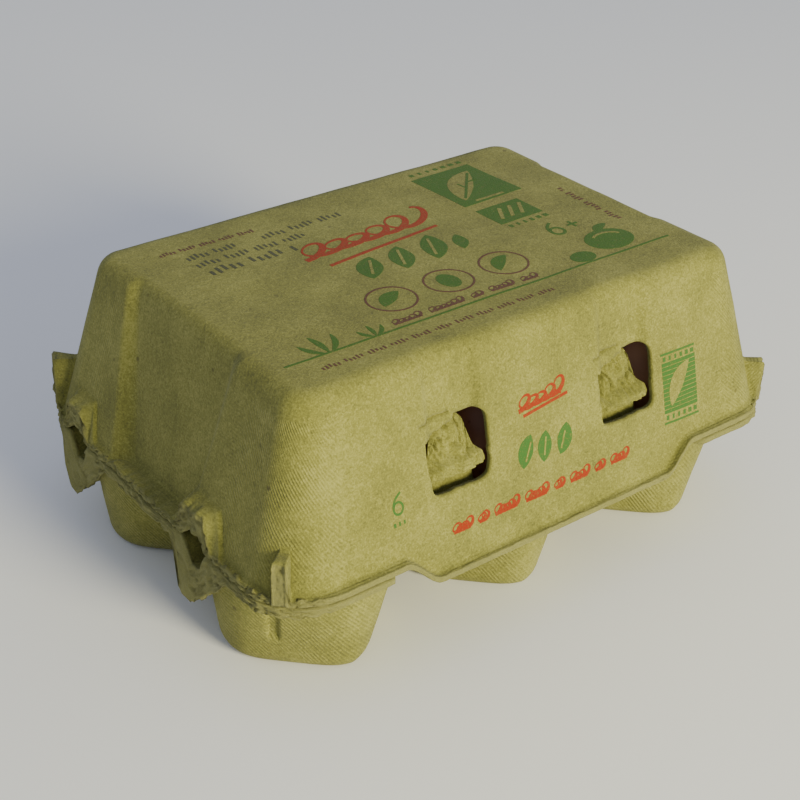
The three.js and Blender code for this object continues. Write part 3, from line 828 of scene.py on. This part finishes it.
# Latch knobs: height, half width, how far the face lies behind the lid's wall, thickness
KNOB_ROWS = (
    (WINDOW_HIGH - 1.6, 1.8, 3.9, 1.6),
    (WINDOW_HIGH - 2.2, 3.4, 3.1, 3.0),
    (WINDOW_HIGH - 3.8, 4.6, 2.8, 3.6),
    (WINDOW_LOW + 10.0, 5.2, 2.6, 3.8),
    (WINDOW_LOW + 7.2, 5.9, 2.4, 3.8),
    (WINDOW_LOW + 6.2, 6.4, 2.2, 4.0),
    (WINDOW_LOW + 5.2, 7.6, 0.5, 4.4),
    (WINDOW_LOW + 3.8, 7.9, 0.1, 4.6),
    (WINDOW_LOW + 3.2, 7.8, 0.4, 4.0),
    (WINDOW_LOW + 2.9, 7.0, 2.2, 4.0),
    (WINDOW_LOW + 2.6, 6.4, 5.2, 1.7),
    (WINDOW_LOW - 2.0, 6.6, 5.0, 1.7),
    (JOINT_Z - PULP + 0.5, 7.8, PULP + 0.6, 2.4),
)


def knob_section(z):
    """Half width, set back and thickness at a height."""
    for upper, lower in zip(KNOB_ROWS, KNOB_ROWS[1:]):
        if z >= lower[0]:
            t = (z - lower[0]) / (upper[0] - lower[0])
            return [lerp(low, high, t) for low, high in zip(lower, upper)][1:]
    return KNOB_ROWS[-1][1:]


def front_wall_y(z):
    return -lerp(RIM_HALF_Y - LIP, TOP_FRONT, (z - JOINT_Z) / (HEIGHT - JOINT_Z))


def crease(x, z, seed, width):
    """1 along sharp folds that wander over a knob, 0 between them."""
    return max(0.0, 1 - abs(noise.noise(Vector((x, z, seed)))) / width)


def knob_point(middle, angle, z, seed):
    """A point of a knob's crumpled skin; its lip, the skirt, hangs unevenly."""
    half, set_back, thick = knob_section(z)
    c, s = math.cos(angle), math.sin(angle)
    x = half * math.copysign(abs(c) ** 0.8, c)
    face = clamp(s * 2)
    over_foot = clamp((z - WINDOW_LOW - 2.8) / 0.8)
    skirt = 1 - clamp(abs(z - WINDOW_LOW - 4.2) / 1.8)
    long_folds = crease(x * 0.4, z * 0.17, seed, 0.12)
    short_folds = crease(x * 0.9, z * 0.45, seed + 5, 0.12)
    folds = 1.5 * long_folds + 0.9 * short_folds
    bulge = noise.noise(Vector((x / 2.2, z / 3.4, seed + 3)))
    dent = noise.noise(Vector((x, z / 1.6, seed)))
    swell = 0.6 * bulge + 0.25 * dent
    slow = noise.noise(Vector((x / 2.6, 0.4, seed + 9)))
    quick = noise.noise(Vector((x / 0.9, 0.4, seed)))
    wave = skirt * (0.7 * slow + 0.3 * quick)
    push = (0.55 + folds * (1 - 0.6 * skirt) + swell + wave) * face * over_foot
    y = front_wall_y(z) + set_back + thick / 2 * (1 - s) + max(0.1, push)
    hang = 0.9 * noise.noise(Vector((x / 3.1, 0.3, seed))) + 0.35 * noise.noise(Vector((x / 0.9, 0.3, seed)))
    return Vector((middle + x + 0.3, y, z + hang * face * clamp((WINDOW_LOW + 8 - z) / 3) * over_foot))


def make_knob(name, middle, seed, material):
    """A latch knob: a crinkled tongue that swells out through the window like half a bell."""
    top, low = KNOB_ROWS[0][0], KNOB_ROWS[-1][0]
    bell = WINDOW_LOW + 2.4
    heights = [lerp(top, bell, k / 60) for k in range(61)] + [lerp(bell, low, k / 10) for k in range(1, 11)]
    angles = [2 * math.pi * k / 120 for k in range(121)]
    columns = []
    for angle in angles:
        head = Vector((middle + 0.5, front_wall_y(top) + KNOB_ROWS[0][2] + KNOB_ROWS[0][3] / 2, top))
        column = [head] + [knob_point(middle, angle % (2 * math.pi), z, seed) for z in heights]
        foot = Vector((middle, front_wall_y(low) + KNOB_ROWS[-1][2] + KNOB_ROWS[-1][3] / 2, low))
        columns.append(column + [foot])
    torn = [0.0] * len(columns[0])
    marks = [[0.0] * len(columns[0])] * len(columns)
    bm = laid_grid(columns, [angle * 6 for angle in angles], 1, torn, marks)
    close_skin(bm)
    return finished(bm, name, material, "base")


# Eggs


def make_egg(node, x, y, low, material):
    """A brown egg on its pointed end."""
    steps = 48
    bm = bmesh.new()
    corners = []
    for k in range(steps + 1):
        angle = math.pi * k / steps
        radius = EGG_BREADTH / 2 * math.sin(angle) * (1 - EGG_TAPER * math.cos(angle))
        corners.append(bm.verts.new((radius if 0 < k < steps else 0, 0, EGG_LENGTH / 2 * (1 - math.cos(angle)))))
    for pair in zip(corners, corners[1:]):
        bm.edges.new(pair)
    spin_round(bm, 64)
    bmesh.ops.translate(bm, verts=bm.verts, vec=(x, y, low))
    close_skin(bm)
    return finished(bm, node + "_shell", material, "base", [node])


# Print on the lid: strips of ink along paths on its top or its front wall


def on_top(x, y, proud):
    point = Vector((x, y, HEIGHT))
    return Vector((x, y, HEIGHT - dent(point) + proud))


def on_front(x, z, proud):
    """A point on the front wall, at a distance along it and a height."""
    place = x
    for _ in range(5):
        s = front_station(place)
        place += x - wall_point(s, z).x
    s = front_station(place)
    return sunk(wall_point(s, z), s.out) - Vector((0, proud * 0.97, -proud * 0.25))


def front_station(x):
    s = station(x + RIM_HALF_X - RIM_CORNER)
    s.front = True
    return s


def ink_strip(bm, face, path, width, steps=24, across=1, seed=0.0):
    """A strip of ink along path(u), width(u) wide, with a slightly uneven edge."""
    made = bmesh.ops.create_grid(bm, x_segments=steps, y_segments=across, size=0.5)
    new = made["verts"]
    for v in new:
        u, side = v.co.x + 0.5, 2 * v.co.y
        here = Vector(path(u))
        ahead, behind = Vector(path(min(1.0, u + 0.01))), Vector(path(max(0.0, u - 0.01)))
        way = (ahead - behind).normalized()
        across_way = Vector((-way.y, way.x))
        rag = 0.07 * noise.noise(Vector((here.x * 1.3, here.y * 1.3, side + seed)))
        spot = here + across_way * (width(u) / 2 + rag) * side
        v.co = face(spot.x, spot.y, 0.05)
    return new


def bar(start, end, thick):
    a, b = Vector(start), Vector(end)
    return (lambda u: a.lerp(b, u)), (lambda u: thick)


def leaf(start, end, thick, bend=0.0, fullness=0.75):
    a, b = Vector(start), Vector(end)
    side = Vector((-(b - a).y, (b - a).x))
    return (
        lambda u: a.lerp(b, u) + side * bend * math.sin(math.pi * u),
        lambda u: 0.08 + thick * math.sin(math.pi * clamp(u)) ** fullness,
    )


def disc(middle, half_x, half_y):
    m = Vector(middle)
    return (
        lambda u: m + Vector((-math.cos(math.pi * u) * half_x, 0)),
        lambda u: 0.02 + 2 * half_y * math.sin(math.pi * clamp(u)),
    )


def ring(middle, half_x, half_y, thick, start=0.0, turn=1.0):
    m = Vector(middle)

    def path(u):
        angle = 2 * math.pi * (start + turn * u)
        return m + Vector((math.cos(angle) * half_x, math.sin(angle) * half_y))

    return path, lambda u: thick


def loops(start, length, rise, count, thick, slant=0.35, climb=0.0):
    """A pen flourish: a row of slanted loops."""
    a = Vector(start)

    def path(u):
        turn = 2 * math.pi * count * u
        size = 0.75 + 0.25 * math.cos(5 * u + 1)
        up = rise / 2 * size * (1 - math.cos(turn))
        return a + Vector((length * u + rise * 0.5 * math.sin(turn) + slant * up, up + climb * u))

    return path, lambda u: thick * (0.65 + 0.35 * math.sin(2 * math.pi * count * u + 0.6))


def dashes(start, end, count, thick, share=0.62):
    """A row of short strokes of different lengths between two points."""
    a, b = Vector(start), Vector(end)
    marks = []
    for k in range(count):
        middle = a.lerp(b, (k + 0.5) / count)
        half = (b - a) / count / 2 * share * (0.75 + 0.25 * math.sin(5.3 * k))
        marks.append(bar(middle - half, middle + half, thick))
    return marks


def strokes(start, end, count, height, thick):
    """Groups of short upright strokes of different heights along a line, like a printed code."""
    a, b = Vector(start), Vector(end)
    way = (b - a).normalized()
    up = Vector((-way.y, way.x))
    marks = []
    for k in range(count):
        if k % 6 == 5:
            continue
        place = a.lerp(b, (k + 0.5) / count)
        low = height * (0.2 if k % 4 == 2 else 0.0)
        high = height * (0.62 + 0.38 * math.sin(2.3 * k) ** 2)
        marks.append(bar(place + up * low, place + up * high, thick))
    return marks


def six(middle, height, thick):
    """The figure 6: a round bowl and a curved stem."""
    m = Vector(middle)
    radius = height * 0.29
    bowl_middle = m + Vector((0, -height / 2 + radius))
    bowl = ring(bowl_middle, radius * 0.92, radius, thick)
    top = m + Vector((radius * 0.75, height / 2))
    left = bowl_middle + Vector((-radius * 0.92, 0))
    bend = Vector((left.x - radius * 0.05, lerp(left.y, top.y, 0.62)))
    stem = (lambda u: top * (1 - u) ** 2 + bend * 2 * u * (1 - u) + left * u**2), (lambda u: thick)
    return [bowl, stem]


TOP_GREEN = [
    bar((-56.5, -28.4), (54.2, -28.3), 0.6),
    leaf((-46, -28.4), (-49.5, -22.6), 1.3, 0.10),
    leaf((-45.2, -28.4), (-45.6, -20.6), 1.5, -0.05),
    leaf((-44.4, -28.4), (-40.6, -22.0), 1.3, -0.12),
    leaf((-33.4, -28.3), (-35.6, -24.4), 1.0, 0.10),
    leaf((-33, -28.3), (-32.4, -23.4), 1.0, -0.05),
    leaf((-32.6, -28.3), (-29.4, -24.6), 1.0, -0.12),
    disc((41.2, -21.6), 6.6, 5.1),
    disc((29.2, -25.3), 3.4, 2.6),
    leaf((41.0, -17.4), (46.6, -14.6), 2.4, 0.1),
    bar((24.6, 22.6), (43.9, 23.4), 20.6),
    bar((25.6, 4.2), (39.2, 4.4), 9.6),
    leaf((-17.4, -6.6), (-11.6, 3.2), 6.2, 0.03, 0.8),
    leaf((-7.8, -6.8), (-3.0, 4.2), 6.0, 0.0, 0.8),
    leaf((1.4, -6.6), (6.8, 5.2), 6.2, -0.03, 0.8),
    leaf((9.6, -6.0), (12.6, 1.4), 3.6, -0.03, 0.8),
    leaf((-23.6, -18.8), (-16.8, -14.6), 3.8, 0.1, 0.8),
    disc((-4.2, -16.9), 2.6, 3.5),
    leaf((9.0, -19.6), (15.0, -14.2), 3.4, 0.15, 0.8),
    *six((34.2, -9.9), 6.4, 0.8),
    bar((38.2, -10.2), (41.4, -10.2), 0.7),
    bar((39.8, -11.8), (39.8, -8.6), 0.7),
    *dashes((25.0, 35.4), (43.6, 36.0), 7, 1.3),
    *dashes((26.0, -2.6), (39.4, -2.4), 6, 1.4),
]
TOP_PALE = [
    leaf((27.8, 15.4), (40.6, 30.2), 6.6, 0.08, 0.8),
    bar((29.8, 13.9), (39.0, 14.1), 0.8),
    bar((28.2, 1.8), (31.4, 7.0), 1.0),
    bar((31.4, 1.8), (34.6, 7.0), 1.0),
    bar((34.6, 1.8), (37.8, 7.0), 1.0),
    ring((41.2, -21.6), 4.4, 3.2, 0.7, 0.05, 0.32),
    bar((-16.2, -4.6), (-12.6, 1.6), 0.7),
    bar((-7.2, -4.8), (-3.8, 2.6), 0.7),
    bar((2.2, -4.6), (5.8, 3.4), 0.7),
]
TOP_LEAF_VEIN = [
    bar((28.6, 16.4), (39.6, 29.0), 0.7),
    bar((33.0, 21.4), (32.6, 24.6), 0.5),
    bar((35.4, 24.2), (38.6, 24.6), 0.5),
]
TOP_RED = [
    loops((-24.5, 9.8), 35, 8.6, 5.5, 1.8, 0.35, 1.8),
    bar((-21.4, 4.6), (12.6, 8.2), 1.0),
]
PLUM_WORDS = ((-27.0, 8.6), (-17.0, 10.4), (-5.2, 4.0), (0.2, 7.6), (9.4, 5.6))
TOP_PLUM = [
    ring((-20.2, -16.7), 5.9, 5.5, 0.5),
    ring((-4.2, -16.9), 5.9, 5.5, 0.5),
    ring((12.0, -17.0), 5.9, 5.5, 0.5),
    *strokes((-51.0, 30.4), (-24.4, 30.2), 30, 1.7, 0.55),
    *[loops((x, -26.6), length - 1, 2.4, round(length / 1.6), 0.75, 0.3) for x, length in PLUM_WORDS],
    *strokes((-50.7, -33.8), (13.5, -34.0), 66, 1.6, 0.5),
    *strokes((52.6, -14.7), (53.0, 8.1), 20, 2.0, 0.6),
]
TOP_CODE = [
    *strokes((-46.8, 25.0), (-33.0, 25.2), 11, 2.7, 0.62),
    *strokes((-26.0, 25.4), (-2.6, 25.8), 17, 2.7, 0.62),
    *strokes((-46.8, 20.6), (-15.0, 21.0), 24, 2.7, 0.62),
    *strokes((-46.4, 15.4), (-22.0, 15.8), 13, 3.6, 0.85),
]
# Words are stood for by rows of pen loops: start and length of each
RED_WORDS = (
    (-29.0, 5.6),
    (-21.8, 3.0),
    (-17.2, 7.4),
    (-8.2, 7.0),
    (0.6, 3.0),
    (5.2, 6.2),
    (13.0, 3.4),
    (18.0, 6.0),
)
FRONT_RED = [
    loops((-7.6, 50.0), 12.6, 3.9, 5.0, 1.15, 0.35, 0.9),
    bar((-6.4, 48.6), (6.8, 50.2), 0.7),
    *[loops((x, 29.8), length - 0.9, 2.5, max(2, round(length / 1.5)), 0.9, 0.3) for x, length in RED_WORDS],
]
FRONT_GREEN = [
    leaf((-7.8, 37.0), (-4.8, 44.0), 4.2, 0.06, 0.75),
    leaf((-1.9, 36.8), (-0.4, 43.6), 4.0, 0.0, 0.75),
    leaf((3.0, 37.0), (5.8, 43.6), 4.2, -0.06, 0.75),
    *six((-42.2, 41.0), 4.6, 0.5),
    *dashes((-44.2, 36.6), (-40.4, 36.7), 3, 0.9),
    bar((36.0, 49.9), (47.2, 49.7), 0.5),
    bar((36.0, 33.4), (47.4, 33.2), 0.5),
    *dashes((36.2, 48.7), (47.2, 48.5), 6, 1.0),
    *dashes((36.2, 34.7), (47.2, 34.5), 6, 1.1),
]
FRONT_HATCH = [bar((36.2, 36.2 + 1.02 * k), (47.2, 36.0 + 1.02 * k), 0.86) for k in range(12)]
FRONT_PALE = [
    leaf((38.6, 37.2), (45.0, 46.6), 4.2, 0.1, 0.8),
    bar((-7.0, 38.4), (-5.0, 42.4), 0.45),
    bar((-1.5, 38.2), (-0.6, 42.2), 0.45),
    bar((3.5, 38.2), (5.1, 41.8), 0.45),
]


def printed(name, face, marks, material, proud=0.04):
    """Marks of one ink as one thin slab, sunk into the lid."""
    bm = bmesh.new()
    for path, width in marks:
        length = sum((Vector(path((k + 1) / 40)) - Vector(path(k / 40))).length for k in range(40))
        widest = max(width(k / 10) for k in range(11))
        steps = max(4, min(260, round(length / (0.3 if widest < 1 and length < 90 else 0.7))))
        ink_strip(bm, lambda x, y, _: face(x, y, proud), path, width, steps, max(1, round(widest / 0.8)))
    out = Vector((0, 0, 1)) if face is on_top else Vector((0, -1, 0))
    bm.normal_update()
    bmesh.ops.reverse_faces(bm, faces=[f for f in bm.faces if f.normal.dot(out) < 0])
    bmesh.ops.solidify(bm, geom=list(bm.faces), thickness=0.2)
    return finished(bm, name, material, "cover", smooth=False)


# Materials


def put(tree, kind, inputs=None, **settings):
    """Adds a node with its settings; an input is a value or another node's output."""
    node = tree.nodes.new("ShaderNode" + kind)
    for key, value in settings.items():
        setattr(node, key, value)
    for key, value in (inputs or {}).items():
        if isinstance(value, bpy.types.NodeSocket):
            tree.links.new(value, node.inputs[key])
        else:
            node.inputs[key].default_value = value
    return node


def ramp(tree, factor, stops):
    node = put(tree, "ValToRGB", {"Fac": factor})
    band = node.color_ramp
    while len(band.elements) < len(stops):
        band.elements.new(0.5)
    for element, (place, colour) in zip(band.elements, stops):
        element.position = place
        element.color = colour if len(colour) == 4 else (*colour, 1)
    return node.outputs["Color"]


def linear(red, green, blue):
    """A colour given as it looks on a screen, 0 to 255."""
    parts = [value / 255 for value in (red, green, blue)]
    return tuple(p / 12.92 if p <= 0.04045 else ((p + 0.055) / 1.055) ** 2.4 for p in parts)


def sums(tree, *values):
    total = values[0]
    for value in values[1:]:
        total = put(tree, "Math", {0: total, 1: value}, operation="ADD").outputs[0]
    return total


def times(tree, value, amount):
    return put(tree, "Math", {0: value, 1: amount}, operation="MULTIPLY").outputs[0]


def laid_over(tree, colour, upper, mask):
    """One colour over another where the mask is 1."""
    return put(tree, "Mix", {"Factor": mask, 6: colour, 7: (*upper, 1)}, data_type="RGBA").outputs[2]


def grey(level):
    return (level, level, level, 1)


def pulp_group():
    """Moulded pulp: slow mottling, felted fibre, dark flecks, marks of the drying screen, and their height."""
    group = bpy.data.node_groups.new("moulded_pulp", "ShaderNodeTree")
    face = group.interface
    face.new_socket(name="Place", in_out="INPUT", socket_type="NodeSocketVector")
    face.new_socket(name="Surface", in_out="INPUT", socket_type="NodeSocketVector")
    ribs = face.new_socket(name="Screen marks", in_out="INPUT", socket_type="NodeSocketFloat")
    ribs.default_value = 0.5
    torn = face.new_socket(name="Torn", in_out="INPUT", socket_type="NodeSocketFloat")
    torn.default_value = 0.0
    for name in ("Mottle", "Fibre", "Fleck", "Screen", "Height"):
        face.new_socket(name=name, in_out="OUTPUT", socket_type="NodeSocketFloat")
    start = group.nodes.new("NodeGroupInput")
    end = group.nodes.new("NodeGroupOutput")
    place, surface = start.outputs["Place"], start.outputs["Surface"]
    mottle = put(group, "TexNoise", {"Vector": place, "Scale": 70.0, "Detail": 4.0, "Roughness": 0.6})
    felt = put(
        group,
        "TexNoise",
        {"Vector": place, "Scale": 2300.0, "Detail": 3.0, "Roughness": 0.7, "Distortion": 0.4},
    )
    hair = put(group, "TexNoise", {"Vector": place, "Scale": 1100.0, "Detail": 2.0, "Distortion": 1.2})
    fleck = put(group, "TexVoronoi", {"Vector": place, "Scale": 190.0, "Randomness": 1.0})
    fleck_mask = ramp(group, fleck.outputs["Distance"], [(0.0, grey(1)), (0.075, grey(0.7)), (0.13, grey(0))])
    rare = put(group, "TexNoise", {"Vector": place, "Scale": 150.0, "Detail": 1.0})
    rare_mask = ramp(group, rare.outputs["Fac"], [(0.55, grey(0)), (0.66, grey(1))])
    wires = {"Scale": 0.37, "Distortion": 1.0, "Detail": 1.0, "Detail Scale": 0.5}
    down = put(group, "TexWave", {"Vector": surface, **wires}, bands_direction="Y")
    turned = put(group, "Mapping", {"Vector": surface, "Rotation": (0, 0, math.radians(46))})
    slant = put(group, "TexWave", {"Vector": turned.outputs["Vector"], **wires}, bands_direction="X")
    choice_mask = ramp(group, start.outputs["Screen marks"], [(0.5, grey(0)), (0.8, grey(1))])
    ribs = put(
        group,
        "Mix",
        {"Factor": choice_mask, 2: down.outputs["Fac"], 3: slant.outputs["Fac"]},
        data_type="FLOAT",
    ).outputs[0]
    patchy = put(group, "TexNoise", {"Vector": place, "Scale": 110.0, "Detail": 2.0})
    patchy_mask = ramp(group, patchy.outputs["Fac"], [(0.35, grey(0.25)), (0.6, grey(1))])
    screen = times(group, times(group, ribs, start.outputs["Screen marks"]), patchy_mask)
    strands = put(
        group,
        "TexNoise",
        {"Vector": place, "Scale": 1900.0, "Detail": 4.0, "Roughness": 0.8, "Distortion": 1.5},
    )
    group.links.new(screen, end.inputs["Screen"])
    group.links.new(mottle.outputs["Fac"], end.inputs["Mottle"])
    fibre = sums(group, times(group, felt.outputs["Fac"], 0.6), times(group, hair.outputs["Fac"], 0.4))
    group.links.new(fibre, end.inputs["Fibre"])
    group.links.new(times(group, fleck_mask, rare_mask), end.inputs["Fleck"])
    height = sums(
        group,
        times(group, felt.outputs["Fac"], 0.45),
        times(group, hair.outputs["Fac"], 0.4),
        times(group, screen, 0.5),
        times(group, times(group, strands.outputs["Fac"], start.outputs["Torn"]), 1.5),
    )
    group.links.new(height, end.inputs["Height"])
    return group


PULP_GROUP = pulp_group()
PULP_DARK = linear(88, 88, 42)
PULP_MID = linear(118, 117, 54)
PULP_PALE = linear(146, 144, 78)
PULP_TORN = linear(140, 138, 84)


def pulp_material(name, ink=None, cover=0.85):
    """Felted paper pulp, plain or under ink; ink lets the pulp through in its low places."""
    material = bpy.data.materials.new(name)
    material.use_nodes = True
    tree = material.node_tree
    tree.nodes.clear()
    out = put(tree, "OutputMaterial")
    place = put(tree, "TexCoord")
    surface = put(tree, "UVMap", uv_map="surface")
    torn = put(tree, "Attribute", attribute_name="torn")
    marks = put(tree, "Attribute", attribute_name="marks")
    pulp = put(tree, "Group", node_tree=PULP_GROUP)
    tree.links.new(place.outputs["Object"], pulp.inputs["Place"])
    tree.links.new(surface.outputs["UV"], pulp.inputs["Surface"])
    tree.links.new(torn.outputs["Fac"], pulp.inputs["Torn"])
    tree.links.new(marks.outputs["Fac"], pulp.inputs["Screen marks"])
    tone = sums(
        tree,
        times(tree, pulp.outputs["Mottle"], 0.35),
        times(tree, pulp.outputs["Fibre"], 0.85),
        times(tree, pulp.outputs["Screen"], 0.09),
    )
    colour = ramp(tree, tone, [(0.42, PULP_DARK), (0.6, PULP_MID), (0.78, PULP_PALE)])
    colour = laid_over(tree, colour, PULP_TORN, times(tree, torn.outputs["Fac"], 0.6))
    colour = laid_over(tree, colour, linear(62, 56, 30), times(tree, pulp.outputs["Fleck"], 0.75))
    if ink:
        gaps = ramp(tree, pulp.outputs["Fibre"], [(0.36, grey(cover * 0.35)), (0.46, grey(cover))])
        colour = laid_over(tree, colour, ink, gaps)
    bump = put(tree, "Bump", {"Height": pulp.outputs["Height"], "Strength": 1.0, "Distance": 0.00025})
    shader = put(
        tree,
        "BsdfPrincipled",
        {
            "Base Color": colour,
            "Roughness": 0.93,
            "Specular IOR Level": 0.22,
            "Sheen Weight": 0.06,
            "Sheen Roughness": 0.6,
            "Normal": bump.outputs["Normal"],
        },
    )
    tree.links.new(shader.outputs["BSDF"], out.inputs["Surface"])
    return material


def shell_material():
    """A brown hen's egg: satin, finely pored, with a few darker specks."""
    material = bpy.data.materials.new("brown_eggshell")
    material.use_nodes = True
    tree = material.node_tree
    tree.nodes.clear()
    out = put(tree, "OutputMaterial")
    place = put(tree, "TexCoord").outputs["Object"]
    cloud = put(tree, "TexNoise", {"Vector": place, "Scale": 45.0, "Detail": 3.0})
    colour = ramp(
        tree,
        cloud.outputs["Fac"],
        [(0.35, linear(141, 92, 62)), (0.55, linear(163, 111, 76)), (0.75, linear(182, 133, 96))],
    )
    speck = put(tree, "TexVoronoi", {"Vector": place, "Scale": 330.0})
    speck_mask = ramp(tree, speck.outputs["Distance"], [(0.05, grey(0.7)), (0.16, grey(0))])
    colour = laid_over(tree, colour, linear(104, 62, 40), speck_mask)
    pores = put(tree, "TexNoise", {"Vector": place, "Scale": 1800.0, "Detail": 2.0})
    bump = put(tree, "Bump", {"Height": pores.outputs["Fac"], "Strength": 0.25, "Distance": 0.0001})
    rough = ramp(tree, cloud.outputs["Fac"], [(0.3, grey(0.42)), (0.7, grey(0.55))])
    shader = put(
        tree,
        "BsdfPrincipled",
        {"Base Color": colour, "Roughness": rough, "Specular IOR Level": 0.4, "Normal": bump.outputs["Normal"]},
    )
    tree.links.new(shader.outputs["BSDF"], out.inputs["Surface"])
    return material


# The carton

lid_pulp = pulp_material("pulp_lid")
tray_pulp = pulp_material("pulp_tray")
knob_pulp = pulp_material("pulp_knob")

make_lid(lid_pulp)
make_tray(tray_pulp)
make_post("post_left", -PITCH_X / 2, tray_pulp)
make_post("post_right", PITCH_X / 2, tray_pulp)
make_knob("latch_knob_left", -WINDOW_X, 2.3, knob_pulp)
make_knob("latch_knob_right", WINDOW_X, 7.9, knob_pulp)

egg_shell = shell_material()
for column, x, low in zip(("left", "middle", "right"), (-EGG_END_X, 0.0, EGG_END_X), EGG_LOW):
    for row, y in (("front", -PITCH_Y / 2), ("back", PITCH_Y / 2)):
        make_egg(f"egg_{row}_{column}", x, y, low, egg_shell)

green_ink = pulp_material("ink_green_top", linear(44, 88, 10), 0.94)
green_ink_front = pulp_material("ink_green_front", linear(40, 92, 34), 0.9)
red_ink = pulp_material("ink_red", linear(138, 32, 0), 0.95)
plum_ink = pulp_material("ink_plum", linear(78, 34, 34), 0.9)
code_ink = pulp_material("ink_code", linear(46, 50, 40), 0.88)
bare_pulp = pulp_material("pulp_unprinted")
printed("print_top_green", on_top, TOP_GREEN, green_ink)
printed("print_top_bare", on_top, TOP_PALE, bare_pulp, 0.07)
printed("print_top_veins", on_top, TOP_LEAF_VEIN, green_ink, 0.1)
printed("print_top_red", on_top, TOP_RED, red_ink)
printed("print_top_plum", on_top, TOP_PLUM, plum_ink)
printed("print_top_code", on_top, TOP_CODE, code_ink)
printed("print_front_red", on_front, FRONT_RED, red_ink)
printed("print_front_green", on_front, FRONT_GREEN + FRONT_HATCH, green_ink_front)
printed("print_front_bare", on_front, FRONT_PALE, bare_pulp, 0.07)

# Floor, light and camera


def plain_material(name, colour, roughness):
    material = bpy.data.materials.new(name)
    material.use_nodes = True
    shader = material.node_tree.nodes["Principled BSDF"]
    shader.inputs["Base Color"].default_value = (*colour, 1)
    shader.inputs["Roughness"].default_value = roughness
    return material


def make_floor():
    bm = bmesh.new()
    bmesh.ops.create_grid(bm, x_segments=1, y_segments=1, size=4)
    mesh = bpy.data.meshes.new("floor")
    bm.to_mesh(mesh)
    bm.free()
    floor = bpy.data.objects.new("floor", mesh)
    bpy.context.scene.collection.objects.link(floor)
    mesh.materials.append(plain_material("pale_floor", (0.86, 0.86, 0.85), 0.9))


def area_light(name, place, aim, size, power, colour):
    light = bpy.data.lights.new(name, "AREA")
    light.shape = "DISK"
    light.size = size
    light.energy = power
    light.color = colour
    lamp = bpy.data.objects.new(name, light)
    bpy.context.scene.collection.objects.link(lamp)
    lamp.location = place
    lamp.rotation_euler = (Vector(aim) - Vector(place)).to_track_quat("-Z", "Y").to_euler()


def make_world(colour, level):
    world = bpy.data.worlds.new("studio")
    world.use_nodes = True
    background = world.node_tree.nodes["Background"]
    background.inputs["Color"].default_value = colour
    background.inputs["Strength"].default_value = level
    bpy.context.scene.world = world


def make_camera():
    """The photograph's view: turned to the left end, looking down, with a slight roll."""
    turn, rise, roll = math.radians(-36.92), math.radians(32.68), math.radians(0.77)
    back = Vector((math.sin(turn) * math.cos(rise), -math.cos(turn) * math.cos(rise), math.sin(rise)))
    right = Vector((math.cos(turn), math.sin(turn), 0))
    up = back.cross(right)
    right, up = right * math.cos(roll) + up * math.sin(roll), up * math.cos(roll) - right * math.sin(roll)
    lens = bpy.data.cameras.new("camera")
    lens.lens = 67.47
    lens.sensor_width = 36
    lens.shift_x = 0.0499
    lens.shift_y = 0.0622
    lens.clip_start = 0.01
    camera = bpy.data.objects.new("camera", lens)
    bpy.context.scene.collection.objects.link(camera)
    camera.matrix_world = Matrix.Translation((-0.202125, -0.249560, 0.218249)) @ Matrix(
        (right, up, back)
    ).transposed().to_4x4()
    bpy.context.scene.camera = camera


SKY_COLOUR = (0.92, 0.99, 1.2, 1)
SKY_LEVEL = 0.52
KEY_PLACE = (0.09, -0.94, 0.34)
KEY_AIM = (0, 0, 0.03)
KEY_SIZE = 0.36
KEY_POWER = 17.5
KEY_COLOUR = (1.0, 0.93, 0.6)

make_floor()
make_world(SKY_COLOUR, SKY_LEVEL)
area_light("key", KEY_PLACE, KEY_AIM, KEY_SIZE, KEY_POWER, KEY_COLOUR)
make_camera()
